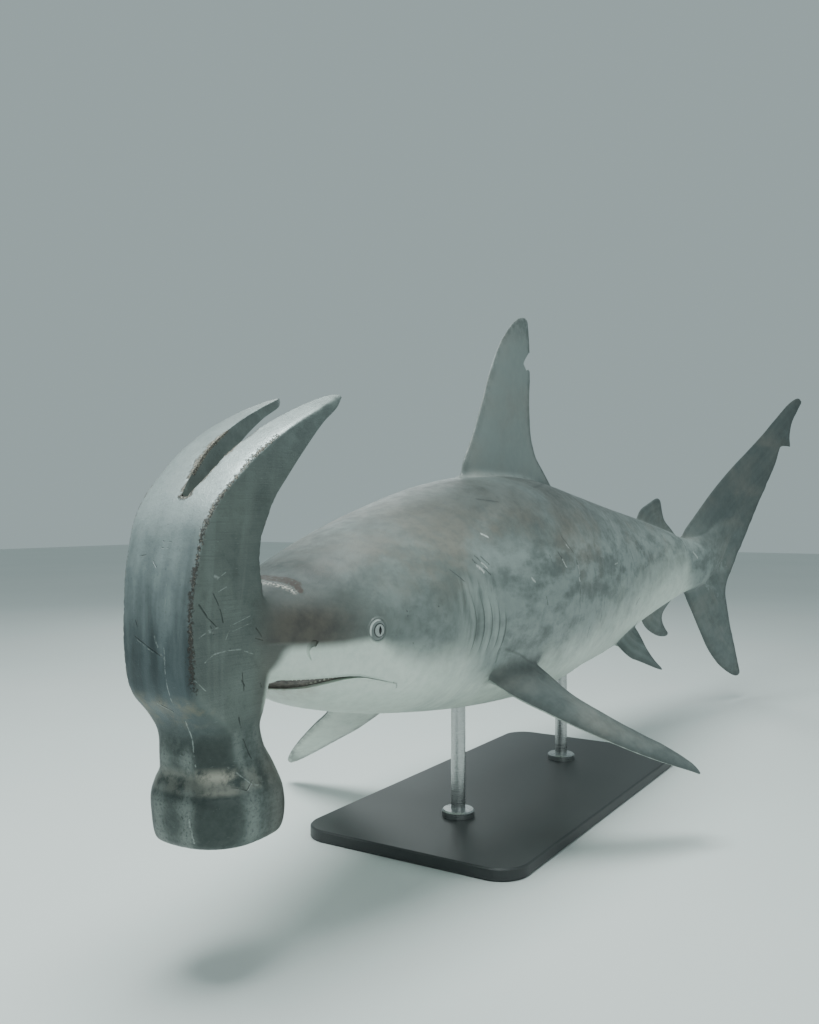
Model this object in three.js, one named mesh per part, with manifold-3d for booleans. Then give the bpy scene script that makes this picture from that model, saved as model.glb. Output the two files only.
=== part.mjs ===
// A shark three metres long whose snout is the forged head of a claw hammer, held by a display stand.
// Lengths are in millimetres and +Z is up. The head points to -X and the animal's left is -Y.
// The body is laid out along its spine: s runs back from the front of the hammer, l to the animal's
// left and z up from the body's axis, and place() bends that straight animal into its pose.

import * as THREE from 'three';
import { mergeVertices } from 'three/addons/utils/BufferGeometryUtils.js';
import Module from 'manifold-3d';

// Driving dimensions of the pose and of the stand
const STRAIGHT_LENGTH = 1260;
const BEND_RADIUS = 4600;
const AXIS_HEIGHT = 470;
const STAND_AT = 1100;
const BASE_LENGTH = 1000;
const BASE_WIDTH = 480;
const BASE_THICKNESS = 24;
const BASE_CORNER = 60;
const ROD_RADIUS = 15;
const COLLAR_RADIUS = 34;
const COLLAR_HEIGHT = 14;
const EDGE_BEVEL = 3;
const ROD_SUNK = 60;
const ROD_SIDES = 28;
const ROD_PLACES = { stand_rod_front: 830, stand_rod_rear: 1370 };

// The gap that touching pieces keep
const GAP = 0.3;

// The body along the spine: each row gives s, the height of the back, the height of the belly, half the
// width, the height where it is widest, and how square the upper and the lower half of the section are
const BODY_ROWS = [
  [90, 76, -60, 60, 6, 2.8, 2.8],
  [140, 76, -66, 76, 5, 2.6, 2.6],
  [185, 80, -74, 101, 2, 2.4, 2.4],
  [225, 90, -92, 120, -2, 2.2, 2.4],
  [270, 107, -118, 132, -4, 2.1, 2.3],
  [325, 128, -136, 146, -4, 2.1, 2.3],
  [430, 165, -160, 168, -2, 2.1, 2.3],
  [560, 202, -182, 190, 2, 2.1, 2.2],
  [720, 240, -203, 202, 8, 2.1, 2.2],
  [900, 264, -219, 203, 14, 2.1, 2.2],
  [1100, 264, -228, 192, 20, 2.1, 2.2],
  [1320, 238, -215, 170, 26, 2.1, 2.1],
  [1560, 205, -196, 138, 26, 2.1, 2.1],
  [1800, 170, -142, 102, 26, 2.1, 2.1],
  [2000, 134, -100, 74, 24, 2.2, 2.2],
  [2140, 104, -72, 56, 20, 2.3, 2.3],
  [2230, 106, -66, 47, 22, 2.3, 2.3],
  [2310, 124, -44, 32, 40, 2.1, 2.1],
  [2400, 172, 0, 18, 86, 2, 2],
  [2490, 240, 90, 8, 165, 2, 2],
  [2560, 285, 170, 3, 228, 2, 2],
];
const BODY_RINGS = 47;
const BODY_SIDES = 32;

// Where the body is parted into its nodes, and where the steel gives way to skin
const SNOUT_JOINT = 178;
const BODY_JOINTS = [
  ['head', SNOUT_JOINT, 505],
  ['gill_region', 505, 700],
  ['trunk_front', 700, 1130],
  ['trunk_rear', 1130, 1590],
  ['tail_front', 1590, 1930],
  ['tail_stock', 1930, 2600],
];

// The mouth: the height of the upper lip against s, and the gap that the parted lips leave
const LIP_ROWS = [
  [150, -62],
  [214, -62],
  [262, -63],
  [293, -66.5],
  [320, -73],
  [374, -88],
];
const MOUTH_CORNER = 374;
const MOUTH_GAPS = [
  [150, 24],
  [178, 21],
  [214, 18],
  [238, 11],
  [262, 6],
  [293, 2],
  [320, 1.2],
  [374, 2 * GAP],
];
const JAW_HINGE = [420, -175];
const JAW_FRONT = 200;
const MOUTH_STEPS = 12;
const BELOW_JAW = -260;
const HALF_ACROSS = 240;
const LIP_RADIUS = 2.8;
const LIP_STEPS = 22;
const LIP_SIDES = 3;
const TOOTH_COUNT = 21;
const TOOTH_SPAN = [288, 210];
const TOOTH_HEIGHT = 8;
const TOOTH_INSET = 8;
const TOOTH_SHARE = 0.45;
const TOOTH_ROOT = 5;
const UPPER_TOOTH_INSET = 15;
const UPPER_TOOTH_HEIGHT = 5.6;

// Eyes, nostrils and gill slits
const EYE = [315, 3.5];
const EYE_RADIUS = 26;
const EYE_OPENING = 18;
const EYE_DEPTH = 10;
const LID_THICKNESS = 2.2;
const EYE_SIDES = 22;
const EYE_RINGS = 13;
const LID_SIDES = 6;
const LID_STEPS = 20;
const NOSTRIL = [200, -11];
const NOSTRIL_SIZE = [9, 6, 5];
const NOSTRIL_SIDES = 8;
const NOSTRIL_RINGS = 6;
const GILL_TOPS = [[541, 44], [566, 45], [591, 40], [616, 30], [638, 14]];
const GILL_HEIGHTS = [112, 116, 116, 110, 100];
const GILL_LEAN = 12;
const GILL_DEPTH = 9;
const GILL_SLOPE = 17;
const GILL_STEPS = 5;

// The hammer head from its striking face to the tips of its claws: each row gives the front and the
// rear of the section as (s, z), half its width, how far its front is crowned, how square it is, how
// far its corners are cut off (0.7 makes an octagon), half the width of the slot between the claws and
// how far to the left the slot's middle lies
const HAMMER_ROWS = [
  [58, -278, 168, -278, 58, 0, 5, 0.66, 0],
  [35, -274, 195, -274, 82, 0, 6, 0.67, 0],
  [27, -262, 207, -262, 90, 0, 8, 0.68, 0],
  [24, -238, 210, -238, 93, 0, 8, 0.68, 0],
  [21.5, -214, 207.5, -214, 93, 0, 8, 0.68, 0],
  [25, -198, 202, -198, 88.5, 0, 8, 0.68, 0],
  [33, -178, 192, -178, 79, 0, 8, 0.68, 0],
  [31, -152, 176, -152, 73, 0, 10, 0.7, 0],
  [31, -120, 161, -120, 72, 0, 11, 0.68, 0],
  [21, -94, 161, -98, 69, 4, 12, 0.6, 0],
  [-1, -66, 162, -74, 67, 7, 14, 0.54, 0],
  [-10, -35, 162, -42, 66.5, 8, 14, 0.48, 0],
  [-13, 10, 158, 4, 66.5, 8, 14, 0.45, 0],
  [-13, 55, 150, 48, 66, 8, 14, 0.45, 0],
  [-9, 96, 139, 82, 68, 8, 14, 0.45, 0],
  [0, 139, 131, 112, 70, 8, 14, 0.45, 0],
  [10, 173, 131, 144, 72, 8, 14, 0.45, 0],
  [33, 208, 138, 172, 76, 7, 14, 0.46, 6, 16],
  [67, 241, 153, 206, 80, 6, 13, 0.48, 16, 13],
  [112, 279, 180, 241, 84, 6, 11, 0.5, 24, 9],
  [173, 317, 214, 281, 88, 6, 9, 0.52, 32, 9],
  [238, 348, 257, 320, 87, 5, 7, 0.54, 39, 9],
  [290, 368, 300, 344, 80, 2, 5, 0.56, 47, 8],
  [319, 377, 325, 361, 71, 0, 4, 0.6, 60, 4],
];
const HAMMER_RINGS = 47;
const HAMMER_SIDES = 28;

// Where across its depth the inner side of each claw turns away from the slot, and how much of the
// claw's width is gone from there to the rear
const SLOT_TURN = 0.55;
const SLOT_FLARE = 0.8;
const SLOT_PAST = 40;
const SLOT_STEPS = 14;

// The lines that part the hammer head, each through two (s, z) points
const FACE_TOP = [[0, -196], [240, -196]];
const NECK_TOP = [[0, -98], [240, -98]];
const CLAW_FOOT = [[54, 210], [137, 177]];

// Fins from root to tip: each row gives the leading edge and the trailing edge as (s, l, z), and the
// greatest thickness between them
const DORSAL_FIRST = [
  [825, 0, 225, 1330, 0, 238, 40],
  [850, 0, 288, 1262, 0, 284, 30],
  [886, 0, 340, 1212, 0, 328, 26],
  [927, 0, 409, 1184, 0, 395, 22],
  [970, 0, 489, 1185, 0, 475, 17],
  [1012, 0, 552, 1186, 0, 545, 13],
  [1052, 0, 595, 1183, 0, 592, 9],
  [1094, 0, 628, 1178, 0, 622, 6],
  [1144, 0, 650, 1174, 0, 645, 4],
];
const DORSAL_BITE = [[1215, 507], [1172, 527], [1160, 522], [1140, 536], [1151, 548], [1178, 568], [1215, 560]];
const BITE_REACH = 40;
const DORSAL_SECOND = [
  [1825, 0, 130, 2150, 0, 84, 22],
  [1870, 0, 186, 2090, 0, 130, 15],
  [1926, 0, 210, 2044, 0, 157, 11],
  [1968, 0, 225, 2026, 0, 185, 7],
  [2000, 0, 231, 2018, 0, 222, 4],
];
const ANAL = [
  [1850, 0, -88, 2160, 0, -50, 22],
  [1888, 0, -141, 2060, 0, -107, 14],
  [1928, 0, -172, 2024, 0, -132, 10],
  [1980, 0, -194, 2030, 0, -162, 7],
  [2030, 0, -203, 2054, 0, -184, 5],
  [2062, 0, -202, 2070, 0, -195, 3],
];
const CAUDAL_UPPER = [
  [2094, 0, 44, 2440, 0, -130, 34],
  [2163, 0, 117, 2462, 0, -62, 26],
  [2254, 0, 180, 2500, 0, -8, 20],
  [2366, 0, 257, 2562, 0, 68, 17],
  [2487, 0, 333, 2640, 0, 166, 15],
  [2609, 0, 404, 2722, 0, 268, 13],
  [2718, 0, 472, 2800, 0, 368, 11],
  [2790, 0, 524, 2836, 0, 440, 9],
];
const CAUDAL_TIP = [
  [2804, 0, 534, 2906, 0, 428, 9],
  [2830, 0, 552, 2892, 0, 470, 8],
  [2880, 0, 587, 2918, 0, 530, 6],
  [2930, 0, 611, 2955, 0, 574, 4.5],
  [2962, 0, 618, 2980, 0, 604, 3],
];
const CAUDAL_LOWER = [
  [2104, 0, 10, 2490, 0, 10, 34],
  [2180, 0, -86, 2455, 0, -75, 24],
  [2228, 0, -143, 2464, 0, -120, 19],
  [2280, 0, -209, 2480, 0, -178, 15],
  [2340, 0, -279, 2503, 0, -240, 12],
  [2418, 0, -340, 2526, 0, -300, 9],
  [2494, 0, -377, 2546, 0, -350, 6],
  [2540, 0, -388, 2558, 0, -378, 3.5],
];
const CAUDAL_SPLIT = [[2230, 10], [2444, -58]];
const PECTORAL_LEFT = [
  [640, 128, -94, 838, 128, -80, 34],
  [668, 200, -146, 828, 210, -138, 26],
  [712, 250, -182, 840, 258, -174, 21],
  [772, 306, -223, 877, 306, -210, 17],
  [848, 366, -267, 927, 355, -249, 13],
  [920, 415, -302, 974, 402, -284, 9],
  [970, 446, -323, 1000, 438, -313, 5],
  [990, 459, -333, 1001, 455, -329, 3],
];
const PECTORAL_RIGHT = [
  [636, -118, -96, 850, -118, -183, 34],
  [690, -200, -167, 872, -196, -240, 27],
  [731, -248, -211, 902, -252, -280, 22],
  [771, -297, -254, 911, -310, -319, 18],
  [789, -345, -289, 911, -365, -350, 15],
  [809, -392, -325, 908, -420, -382, 12],
  [834, -440, -362, 905, -462, -405, 8],
  [858, -475, -392, 901, -486, -417, 5],
  [880, -498, -414, 896, -500, -421, 3],
];
const PELVIC = [
  [1522, 60, -138, 1690, 50, -110, 20],
  [1562, 104, -197, 1668, 94, -150, 13],
  [1602, 124, -217, 1664, 116, -186, 9],
  [1648, 143, -236, 1672, 137, -220, 5],
  [1684, 156, -249, 1692, 154, -245, 3],
];
const FIN_STATIONS = [0, 0.02, 0.09, 0.25, 0.5, 0.8, 1];
const FIN_EDGE = 1.2;
const LARGE_FIN_RINGS = 14;
const SMALL_FIN_RINGS = 9;
const CAUDAL_RINGS = 11;

const MATERIALS = {
  forged_steel: { color: '#6d726f', roughness: 0.45, metalness: 0.85 },
  shark_skin: { color: '#7f8580', roughness: 0.55, metalness: 0 },
  fin_skin: { color: '#6b7270', roughness: 0.55, metalness: 0 },
  pale_skin: { color: '#c4cabd', roughness: 0.5, metalness: 0 },
  eyeball: { color: '#8d918c', roughness: 0.08, metalness: 0 },
  stand_paint: { color: '#3b3d3e', roughness: 0.5, metalness: 0 },
  stand_steel: { color: '#b4b6b6', roughness: 0.3, metalness: 1 },
};

const wasm = await Module();
wasm.setup();

// A row of values on a smooth curve through the given rows, where t runs from 0 to 1
function through(rows, t) {
  const reach = t * (rows.length - 1);
  const index = Math.min(Math.floor(reach), rows.length - 2);
  const part = reach - index;
  const before = rows[Math.max(index - 1, 0)];
  const start = rows[index];
  const end = rows[index + 1];
  const after = rows[Math.min(index + 2, rows.length - 1)];
  return start.map((value, column) => {
    const leave = (end[column] - before[column]) / (index > 0 ? 2 : 1);
    const arrive = (after[column] - value) / (index < rows.length - 2 ? 2 : 1);
    const rise = end[column] - value;
    const bend = leave + arrive - 2 * rise;
    return value + part * (leave + part * (3 * rise - 2 * leave - arrive + part * bend));
  });
}

// The row at a given first value, such as the section at a given s
function rowAt(rows, first) {
  let low = 0;
  let high = 1;
  for (let step = 0; step < 40; step += 1) {
    const middle = (low + high) / 2;
    if (through(rows, middle)[0] < first) low = middle;
    else high = middle;
  }
  return through(rows, low);
}

// The place in the model's frame of a point of the straight animal
function place(s, l, z) {
  const turn = Math.max(s - STRAIGHT_LENGTH, 0) / BEND_RADIUS;
  const along = Math.min(s, STRAIGHT_LENGTH) + BEND_RADIUS * Math.sin(turn);
  const aside = BEND_RADIUS * (1 - Math.cos(turn));
  return new THREE.Vector3(
    along - l * Math.sin(turn) - STAND_AT,
    -aside - l * Math.cos(turn),
    z + AXIS_HEIGHT,
  );
}

function rounded(value, fullness) {
  return Math.sign(value) * Math.abs(value) ** (2 / fullness);
}

function toSolid(geometry) {
  geometry.deleteAttribute('normal');
  geometry.deleteAttribute('uv');
  const merged = mergeVertices(geometry, 1e-4);
  const shape = new wasm.Manifold(new wasm.Mesh({
    numProp: 3,
    vertProperties: new Float32Array(merged.attributes.position.array),
    triVerts: new Uint32Array(merged.index.array),
  }));
  return shape;
}

// A closed solid over a row of rings with equal counts, with a fan over each end. The two halves of
// each ring are split into triangles alike, so that the faces of a thin fin never cross.
function loft(rings) {
  const count = rings[0].length;
  const points = rings.flat();
  const faces = [];
  for (let ring = 0; ring < rings.length - 1; ring += 1) {
    for (let side = 0; side < count; side += 1) {
      const a = ring * count + side;
      const b = ring * count + ((side + 1) % count);
      const c = b + count;
      const d = a + count;
      if (side < count / 2) faces.push(a, b, c, a, c, d);
      else faces.push(a, b, d, b, c, d);
    }
  }
  [rings[0], rings.at(-1)].forEach((ring, end) => {
    const middle = ring.reduce((sum, point) => sum.add(point), new THREE.Vector3()).divideScalar(count);
    const first = end * (rings.length - 1) * count;
    points.push(middle);
    for (let side = 0; side < count; side += 1) {
      const a = first + side;
      const b = first + ((side + 1) % count);
      faces.push(points.length - 1, ...(end ? [a, b] : [b, a]));
    }
  });
  let volume = 0;
  for (let corner = 0; corner < faces.length; corner += 3) {
    const [a, b, c] = faces.slice(corner, corner + 3).map((index) => points[index]);
    volume += a.dot(b.clone().cross(c));
  }
  if (volume < 0) faces.reverse();
  const geometry = new THREE.BufferGeometry().setFromPoints(points);
  geometry.setIndex(faces);
  return toSolid(geometry);
}

// The half width of the body at a given s and z
function halfWidthAt(s, z) {
  const [, top, bottom, width, widest, upper, lower] = rowAt(BODY_ROWS, s);
  const fullness = z > widest ? upper : lower;
  const reach = z > widest ? (z - widest) / (top - widest) : (widest - z) / (widest - bottom);
  return width * Math.max(1 - reach ** fullness, 0) ** (1 / fullness);
}

function bodyRing(row, grow) {
  const [s, top, bottom, width, widest, upper, lower] = row;
  return Array.from({ length: BODY_SIDES }, (_, side) => {
    const angle = (side / BODY_SIDES) * 2 * Math.PI;
    const up = Math.sin(angle);
    const fullness = up > 0 ? upper : lower;
    const height = (up > 0 ? top - widest : widest - bottom) + grow;
    const aside = (width + grow) * rounded(Math.cos(angle), fullness);
    return place(s, aside, widest + height * rounded(up, fullness));
  });
}

function body(grow) {
  const rings = Array.from({ length: BODY_RINGS }, (_, ring) => (
    bodyRing(through(BODY_ROWS, ring / (BODY_RINGS - 1)), grow)
  ));
  return loft(rings);
}

// A fin as a foil: blunt in front, thickest at a third of its depth and thin behind
function fin(rows, ringCount, tipRows = []) {
  const sections = Array.from({ length: ringCount }, (_, ring) => through(rows, ring / (ringCount - 1)));
  sections.push(...tipRows);
  const leads = sections.map((row) => new THREE.Vector3(...row.slice(0, 3)));
  const trails = sections.map((row) => new THREE.Vector3(...row.slice(3, 6)));
  const rings = sections.map((row, ring) => {
    const chord = trails[ring].clone().sub(leads[ring]);
    const before = Math.max(ring - 1, 0);
    const after = Math.min(ring + 1, sections.length - 1);
    const span = leads[after].clone().add(trails[after]).sub(leads[before]).sub(trails[before]);
    const across = chord.clone().cross(span).normalize();
    const foil = (station, side) => {
      const half = (row[6] / 2) * (Math.sqrt(station) * (1 - station)) / 0.385;
      const point = leads[ring].clone().addScaledVector(chord, station);
      point.addScaledVector(across, side * Math.max(half, FIN_EDGE / 2));
      return place(point.x, point.y, point.z);
    };
    const upper = FIN_STATIONS.map((station) => foil(station, 1));
    const lower = FIN_STATIONS.map((station) => foil(station, -1)).reverse();
    return [...upper, ...lower];
  });
  return loft(rings);
}

// A prism across the whole body over an outline given as (s, z)
function prism(outline, halfDepth) {
  const shape = new THREE.Shape(outline.map(([s, z]) => new THREE.Vector2(s, z)));
  const geometry = new THREE.ExtrudeGeometry(shape, { depth: 2 * halfDepth, bevelEnabled: false });
  geometry.translate(0, 0, -halfDepth);
  geometry.rotateX(Math.PI / 2);
  geometry.translate(-STAND_AT, 0, AXIS_HEIGHT);
  return toSolid(geometry);
}

// The largest closed surface of a solid
function largest(shape) {
  return shape.decompose().sort((a, b) => b.volume() - a.volume())[0];
}

// The part of a solid that lies between two places along the spine
function between(shape, from, to) {
  let kept = shape;
  [[from, 1], [to, -1]].forEach(([s, sense]) => {
    const point = place(s, 0, 0);
    const ahead = place(s + 1, 0, 0).sub(place(s - 1, 0, 0)).normalize().multiplyScalar(sense);
    kept = kept.trimByPlane(ahead.toArray(), ahead.dot(point) + GAP / 2);
  });
  return kept;
}

// Half of a solid: the side of the line through two (s, z) points that lies to its left
function beside(shape, [s0, z0], [s1, z1], gap) {
  const point = place(s0, 0, z0);
  const line = place(s1, 0, z1).sub(point);
  const aside = new THREE.Vector3(0, -1, 0).cross(line).normalize();
  return shape.trimByPlane(aside.toArray(), aside.dot(point) + gap);
}

function hammerRing(row) {
  const [frontS, frontZ, rearS, rearZ, width, crown, squareness, cornering] = row;
  return Array.from({ length: HAMMER_SIDES }, (_, side) => {
    const angle = (side / HAMMER_SIDES) * 2 * Math.PI;
    const [x, y] = [Math.cos(angle), Math.sin(angle)];
    const [wide, deep] = [Math.abs(x), Math.abs(y)];
    const cut = (wide + deep) * Math.max(cornering, 0);
    const powers = wide ** squareness + deep ** squareness + cut ** squareness;
    const reach = powers ** (-1 / squareness);
    const depth = (1 + y * reach) / 2;
    const aside = x * reach;
    const pushed = crown * aside * aside * (1 - depth);
    const ahead = new THREE.Vector2(rearS - frontS, rearZ - frontZ);
    const point = new THREE.Vector2(frontS, frontZ).addScaledVector(ahead, depth);
    point.addScaledVector(ahead.normalize(), pushed);
    return place(point.x, width * aside, point.y);
  });
}

function hammer() {
  const rows = Array.from({ length: HAMMER_RINGS }, (_, ring) => (
    through(HAMMER_ROWS.map((row) => row.slice(0, 8)), ring / (HAMMER_RINGS - 1))
  ));
  return loft(rows.map(hammerRing));
}

// The slot between the claws, from a little below its bottom to past the tips. Behind SLOT_TURN it
// flares, so that each claw is thinner on its inner side.
function nailSlot() {
  const slotRows = HAMMER_ROWS.filter((row) => row[8] > 0);
  const rows = Array.from({ length: SLOT_STEPS + 1 }, (_, step) => through(slotRows, step / SLOT_STEPS));
  const rings = rows.map(([frontS, frontZ, rearS, rearZ, width, , , , half, middle]) => {
    const front = new THREE.Vector2(frontS, frontZ);
    const rear = new THREE.Vector2(rearS, rearZ);
    const turn = front.clone().lerp(rear, SLOT_TURN);
    const ahead = rear.clone().sub(front).setLength(SLOT_PAST);
    front.sub(ahead);
    rear.add(ahead);
    const [left, right] = [1, -1].map((side) => {
      const edge = middle + side * half;
      const wall = [[front, edge], [turn, edge], [rear, edge + SLOT_FLARE * (side * width - edge)]];
      return wall.map(([point, aside]) => place(point.x, aside, point.y));
    });
    return [...left, ...right.reverse()];
  });
  const [before, last] = rings.slice(-2);
  rings.push(last.map((point, index) => point.clone().multiplyScalar(2).sub(before[index])));
  return loft(rings);
}

// One gill slit: the edge of its flap stands proud and the skin behind slopes back out to the surface
function gillSlit([topS, topZ], height, side) {
  const rings = Array.from({ length: GILL_STEPS + 1 }, (_, step) => {
    const down = step / GILL_STEPS;
    const z = topZ - height * down;
    const s = topS + GILL_LEAN * Math.sin(Math.PI * down);
    const deep = GILL_DEPTH * Math.sin(Math.PI * (0.12 + 0.76 * down));
    const skin = halfWidthAt(s, z);
    const behind = halfWidthAt(s + GILL_SLOPE, z);
    return [
      place(s, side * (skin - deep), z),
      place(s + GILL_SLOPE, side * (behind - 0.5), z),
      place(s + GILL_SLOPE, side * (behind + GILL_DEPTH), z),
      place(s, side * (skin + GILL_DEPTH), z),
    ];
  });
  return loft(rings);
}

function eyeFrame(side) {
  const [s, z] = EYE;
  const skin = place(s, side * halfWidthAt(s, z), z);
  const ahead = place(s + 5, side * halfWidthAt(s + 5, z), z).sub(skin);
  const out = new THREE.Vector3(0, 0, 1).cross(ahead).multiplyScalar(-side).normalize();
  return { skin, out };
}

function eyeball(side, grow) {
  const { skin, out } = eyeFrame(side);
  const sink = Math.sqrt(EYE_RADIUS ** 2 - EYE_OPENING ** 2);
  const geometry = new THREE.SphereGeometry(EYE_RADIUS + grow, EYE_SIDES, EYE_RINGS);
  geometry.applyQuaternion(new THREE.Quaternion().setFromUnitVectors(new THREE.Vector3(0, 1, 0), out));
  const centre = skin.clone().addScaledVector(out, -sink);
  geometry.translate(centre.x, centre.y, centre.z);
  return toSolid(geometry).trimByPlane(out.toArray(), out.dot(skin) - EYE_DEPTH - grow);
}

function lidRing(side) {
  const { skin, out } = eyeFrame(side);
  const geometry = new THREE.TorusGeometry(EYE_OPENING + 1, LID_THICKNESS, LID_SIDES, LID_STEPS);
  geometry.applyQuaternion(new THREE.Quaternion().setFromUnitVectors(new THREE.Vector3(0, 0, 1), out));
  geometry.translate(skin.x, skin.y, skin.z);
  return toSolid(geometry);
}

function nostril(side) {
  const [s, z] = NOSTRIL;
  const geometry = new THREE.SphereGeometry(1, NOSTRIL_SIDES, NOSTRIL_RINGS);
  geometry.scale(...NOSTRIL_SIZE);
  const centre = place(s, side * halfWidthAt(s, z), z);
  geometry.translate(centre.x, centre.y, centre.z);
  return toSolid(geometry);
}

// The space below the mouth line, lowered by part of the gap between the lips
function belowMouth(lowered) {
  const line = Array.from({ length: MOUTH_STEPS + 1 }, (_, step) => {
    const s = LIP_ROWS[0][0] + ((MOUTH_CORNER - LIP_ROWS[0][0]) * step) / MOUTH_STEPS;
    const gap = rowAt(MOUTH_GAPS, s)[1];
    return [s, rowAt(LIP_ROWS, s)[1] - lowered * gap];
  });
  const [hingeS, hingeZ] = JAW_HINGE;
  const edge = lowered * GAP;
  const corners = [[hingeS - edge, hingeZ], [hingeS - edge, BELOW_JAW], [LIP_ROWS[0][0], BELOW_JAW]];
  return prism([...line, ...corners], HALF_ACROSS);
}

// Points along one side of the mouth from its corner to the front, on the skin or set in from it
function mouthEdge(from, to, side, lowered, inset) {
  return Array.from({ length: MOUTH_STEPS + 1 }, (_, step) => {
    const s = from + ((to - from) * step) / MOUTH_STEPS;
    const z = rowAt(LIP_ROWS, s)[1] - lowered * rowAt(MOUTH_GAPS, s)[1];
    return new THREE.Vector3(s, side * Math.max(halfWidthAt(s, z) - inset, 0), z);
  });
}

// The soft roll of a lip, along the whole arch of the jaw or along one side of it
function lip(points) {
  const curve = new THREE.CatmullRomCurve3(points.map((point) => place(...point)));
  const round = new THREE.Shape().absarc(0, 0, LIP_RADIUS, 0, Math.PI * 2);
  const geometry = new THREE.ExtrudeGeometry(round, { steps: LIP_STEPS, curveSegments: LIP_SIDES, extrudePath: curve });
  return toSolid(geometry);
}

// Teeth along the arch of the jaw, each a small pyramid with its root sunk in the gum
function teeth(sense, inset, height) {
  const lowered = sense > 0 ? 1 : 0;
  const left = mouthEdge(TOOTH_SPAN[0], TOOTH_SPAN[1], 1, lowered, inset);
  const right = mouthEdge(TOOTH_SPAN[0], TOOTH_SPAN[1], -1, lowered, inset).reverse();
  const curve = new THREE.CatmullRomCurve3([...left, ...right]);
  return curve.getSpacedPoints(TOOTH_COUNT - 1).map((point) => {
    const size = Math.min(height, rowAt(MOUTH_GAPS, point.x)[1] * TOOTH_SHARE);
    const cone = new THREE.ConeGeometry(size / 2, size + TOOTH_ROOT, 4);
    if (sense < 0) cone.rotateX(Math.PI);
    cone.rotateX(Math.PI / 2);
    const centre = place(point.x + inset, point.y, point.z + (sense * (size - TOOTH_ROOT)) / 2);
    cone.translate(centre.x, centre.y, centre.z);
    return toSolid(cone);
  });
}

function standBase() {
  const [x, y, r] = [BASE_LENGTH / 2, BASE_WIDTH / 2, BASE_CORNER];
  const shape = new THREE.Shape();
  shape.moveTo(-x + r, -y);
  shape.lineTo(x - r, -y);
  shape.absarc(x - r, -y + r, r, -Math.PI / 2, 0);
  shape.lineTo(x, y - r);
  shape.absarc(x - r, y - r, r, 0, Math.PI / 2);
  shape.lineTo(-x + r, y);
  shape.absarc(-x + r, y - r, r, Math.PI / 2, Math.PI);
  shape.lineTo(-x, -y + r);
  shape.absarc(-x + r, -y + r, r, Math.PI, Math.PI * 1.5);
  const geometry = new THREE.ExtrudeGeometry(shape, {
    depth: BASE_THICKNESS - 2 * EDGE_BEVEL,
    bevelEnabled: true,
    bevelThickness: EDGE_BEVEL,
    bevelSize: EDGE_BEVEL,
    bevelOffset: -EDGE_BEVEL,
    bevelSegments: 1,
    curveSegments: 8,
  });
  geometry.translate(0, 0, EDGE_BEVEL);
  return toSolid(geometry);
}

function standRod(s, grownBody) {
  const [, , belly] = rowAt(BODY_ROWS, s);
  const foot = BASE_THICKNESS + GAP;
  const top = AXIS_HEIGHT + belly + ROD_SUNK;
  const turnUp = new THREE.LatheGeometry([
    new THREE.Vector2(0, foot),
    new THREE.Vector2(COLLAR_RADIUS, foot),
    new THREE.Vector2(COLLAR_RADIUS, foot + COLLAR_HEIGHT - EDGE_BEVEL),
    new THREE.Vector2(COLLAR_RADIUS - EDGE_BEVEL, foot + COLLAR_HEIGHT),
    new THREE.Vector2(ROD_RADIUS, foot + COLLAR_HEIGHT),
    new THREE.Vector2(ROD_RADIUS, top),
    new THREE.Vector2(0, top),
  ], ROD_SIDES);
  turnUp.rotateX(Math.PI / 2);
  const centre = place(s, 0, 0);
  turnUp.translate(centre.x, centre.y, 0);
  return largest(toSolid(turnUp).subtract(grownBody));
}

const shark = new THREE.Group();

// A named mesh whose own origin is at the middle of its solid
function add(name, shape, finish) {
  const mesh = largest(shape).getMesh();
  const geometry = new THREE.BufferGeometry();
  geometry.setAttribute('position', new THREE.BufferAttribute(new Float32Array(mesh.vertProperties), 3));
  geometry.setIndex(new THREE.BufferAttribute(new Uint32Array(mesh.triVerts), 1));
  geometry.computeBoundingBox();
  const middle = geometry.boundingBox.getCenter(new THREE.Vector3());
  geometry.translate(-middle.x, -middle.y, -middle.z);
  const material = new THREE.MeshStandardMaterial({ name: finish, ...MATERIALS[finish] });
  const piece = new THREE.Mesh(geometry, material);
  piece.name = name;
  piece.position.copy(middle);
  shark.add(piece);
}

const plainBody = body(0);
const grownBody = body(GAP);

// The hammer head: striking face, neck, cheek with the socket that runs back into the snout, and claws
const wholeHammer = hammer().subtract(nailSlot());
const apart = GAP / 2;
add('hammer_face', beside(wholeHammer, ...FACE_TOP.toReversed(), apart), 'forged_steel');
const aboveFace = beside(wholeHammer, ...FACE_TOP, apart);
add('hammer_neck', beside(aboveFace, ...NECK_TOP.toReversed(), apart), 'forged_steel');
const aboveNeck = beside(aboveFace, ...NECK_TOP, apart);
const socket = between(plainBody, 0, SNOUT_JOINT);
const cheek = beside(aboveNeck, ...CLAW_FOOT.toReversed(), apart).add(socket);
add('hammer_cheek', cheek, 'forged_steel');
const claws = beside(aboveNeck, ...CLAW_FOOT, apart).decompose();
claws.sort((a, b) => b.volume() - a.volume());
const clawPair = claws.slice(0, 2).sort((a, b) => a.boundingBox().min[1] - b.boundingBox().min[1]);
add('hammer_claw_left', clawPair[0], 'forged_steel');
add('hammer_claw_right', clawPair[1], 'forged_steel');

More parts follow.
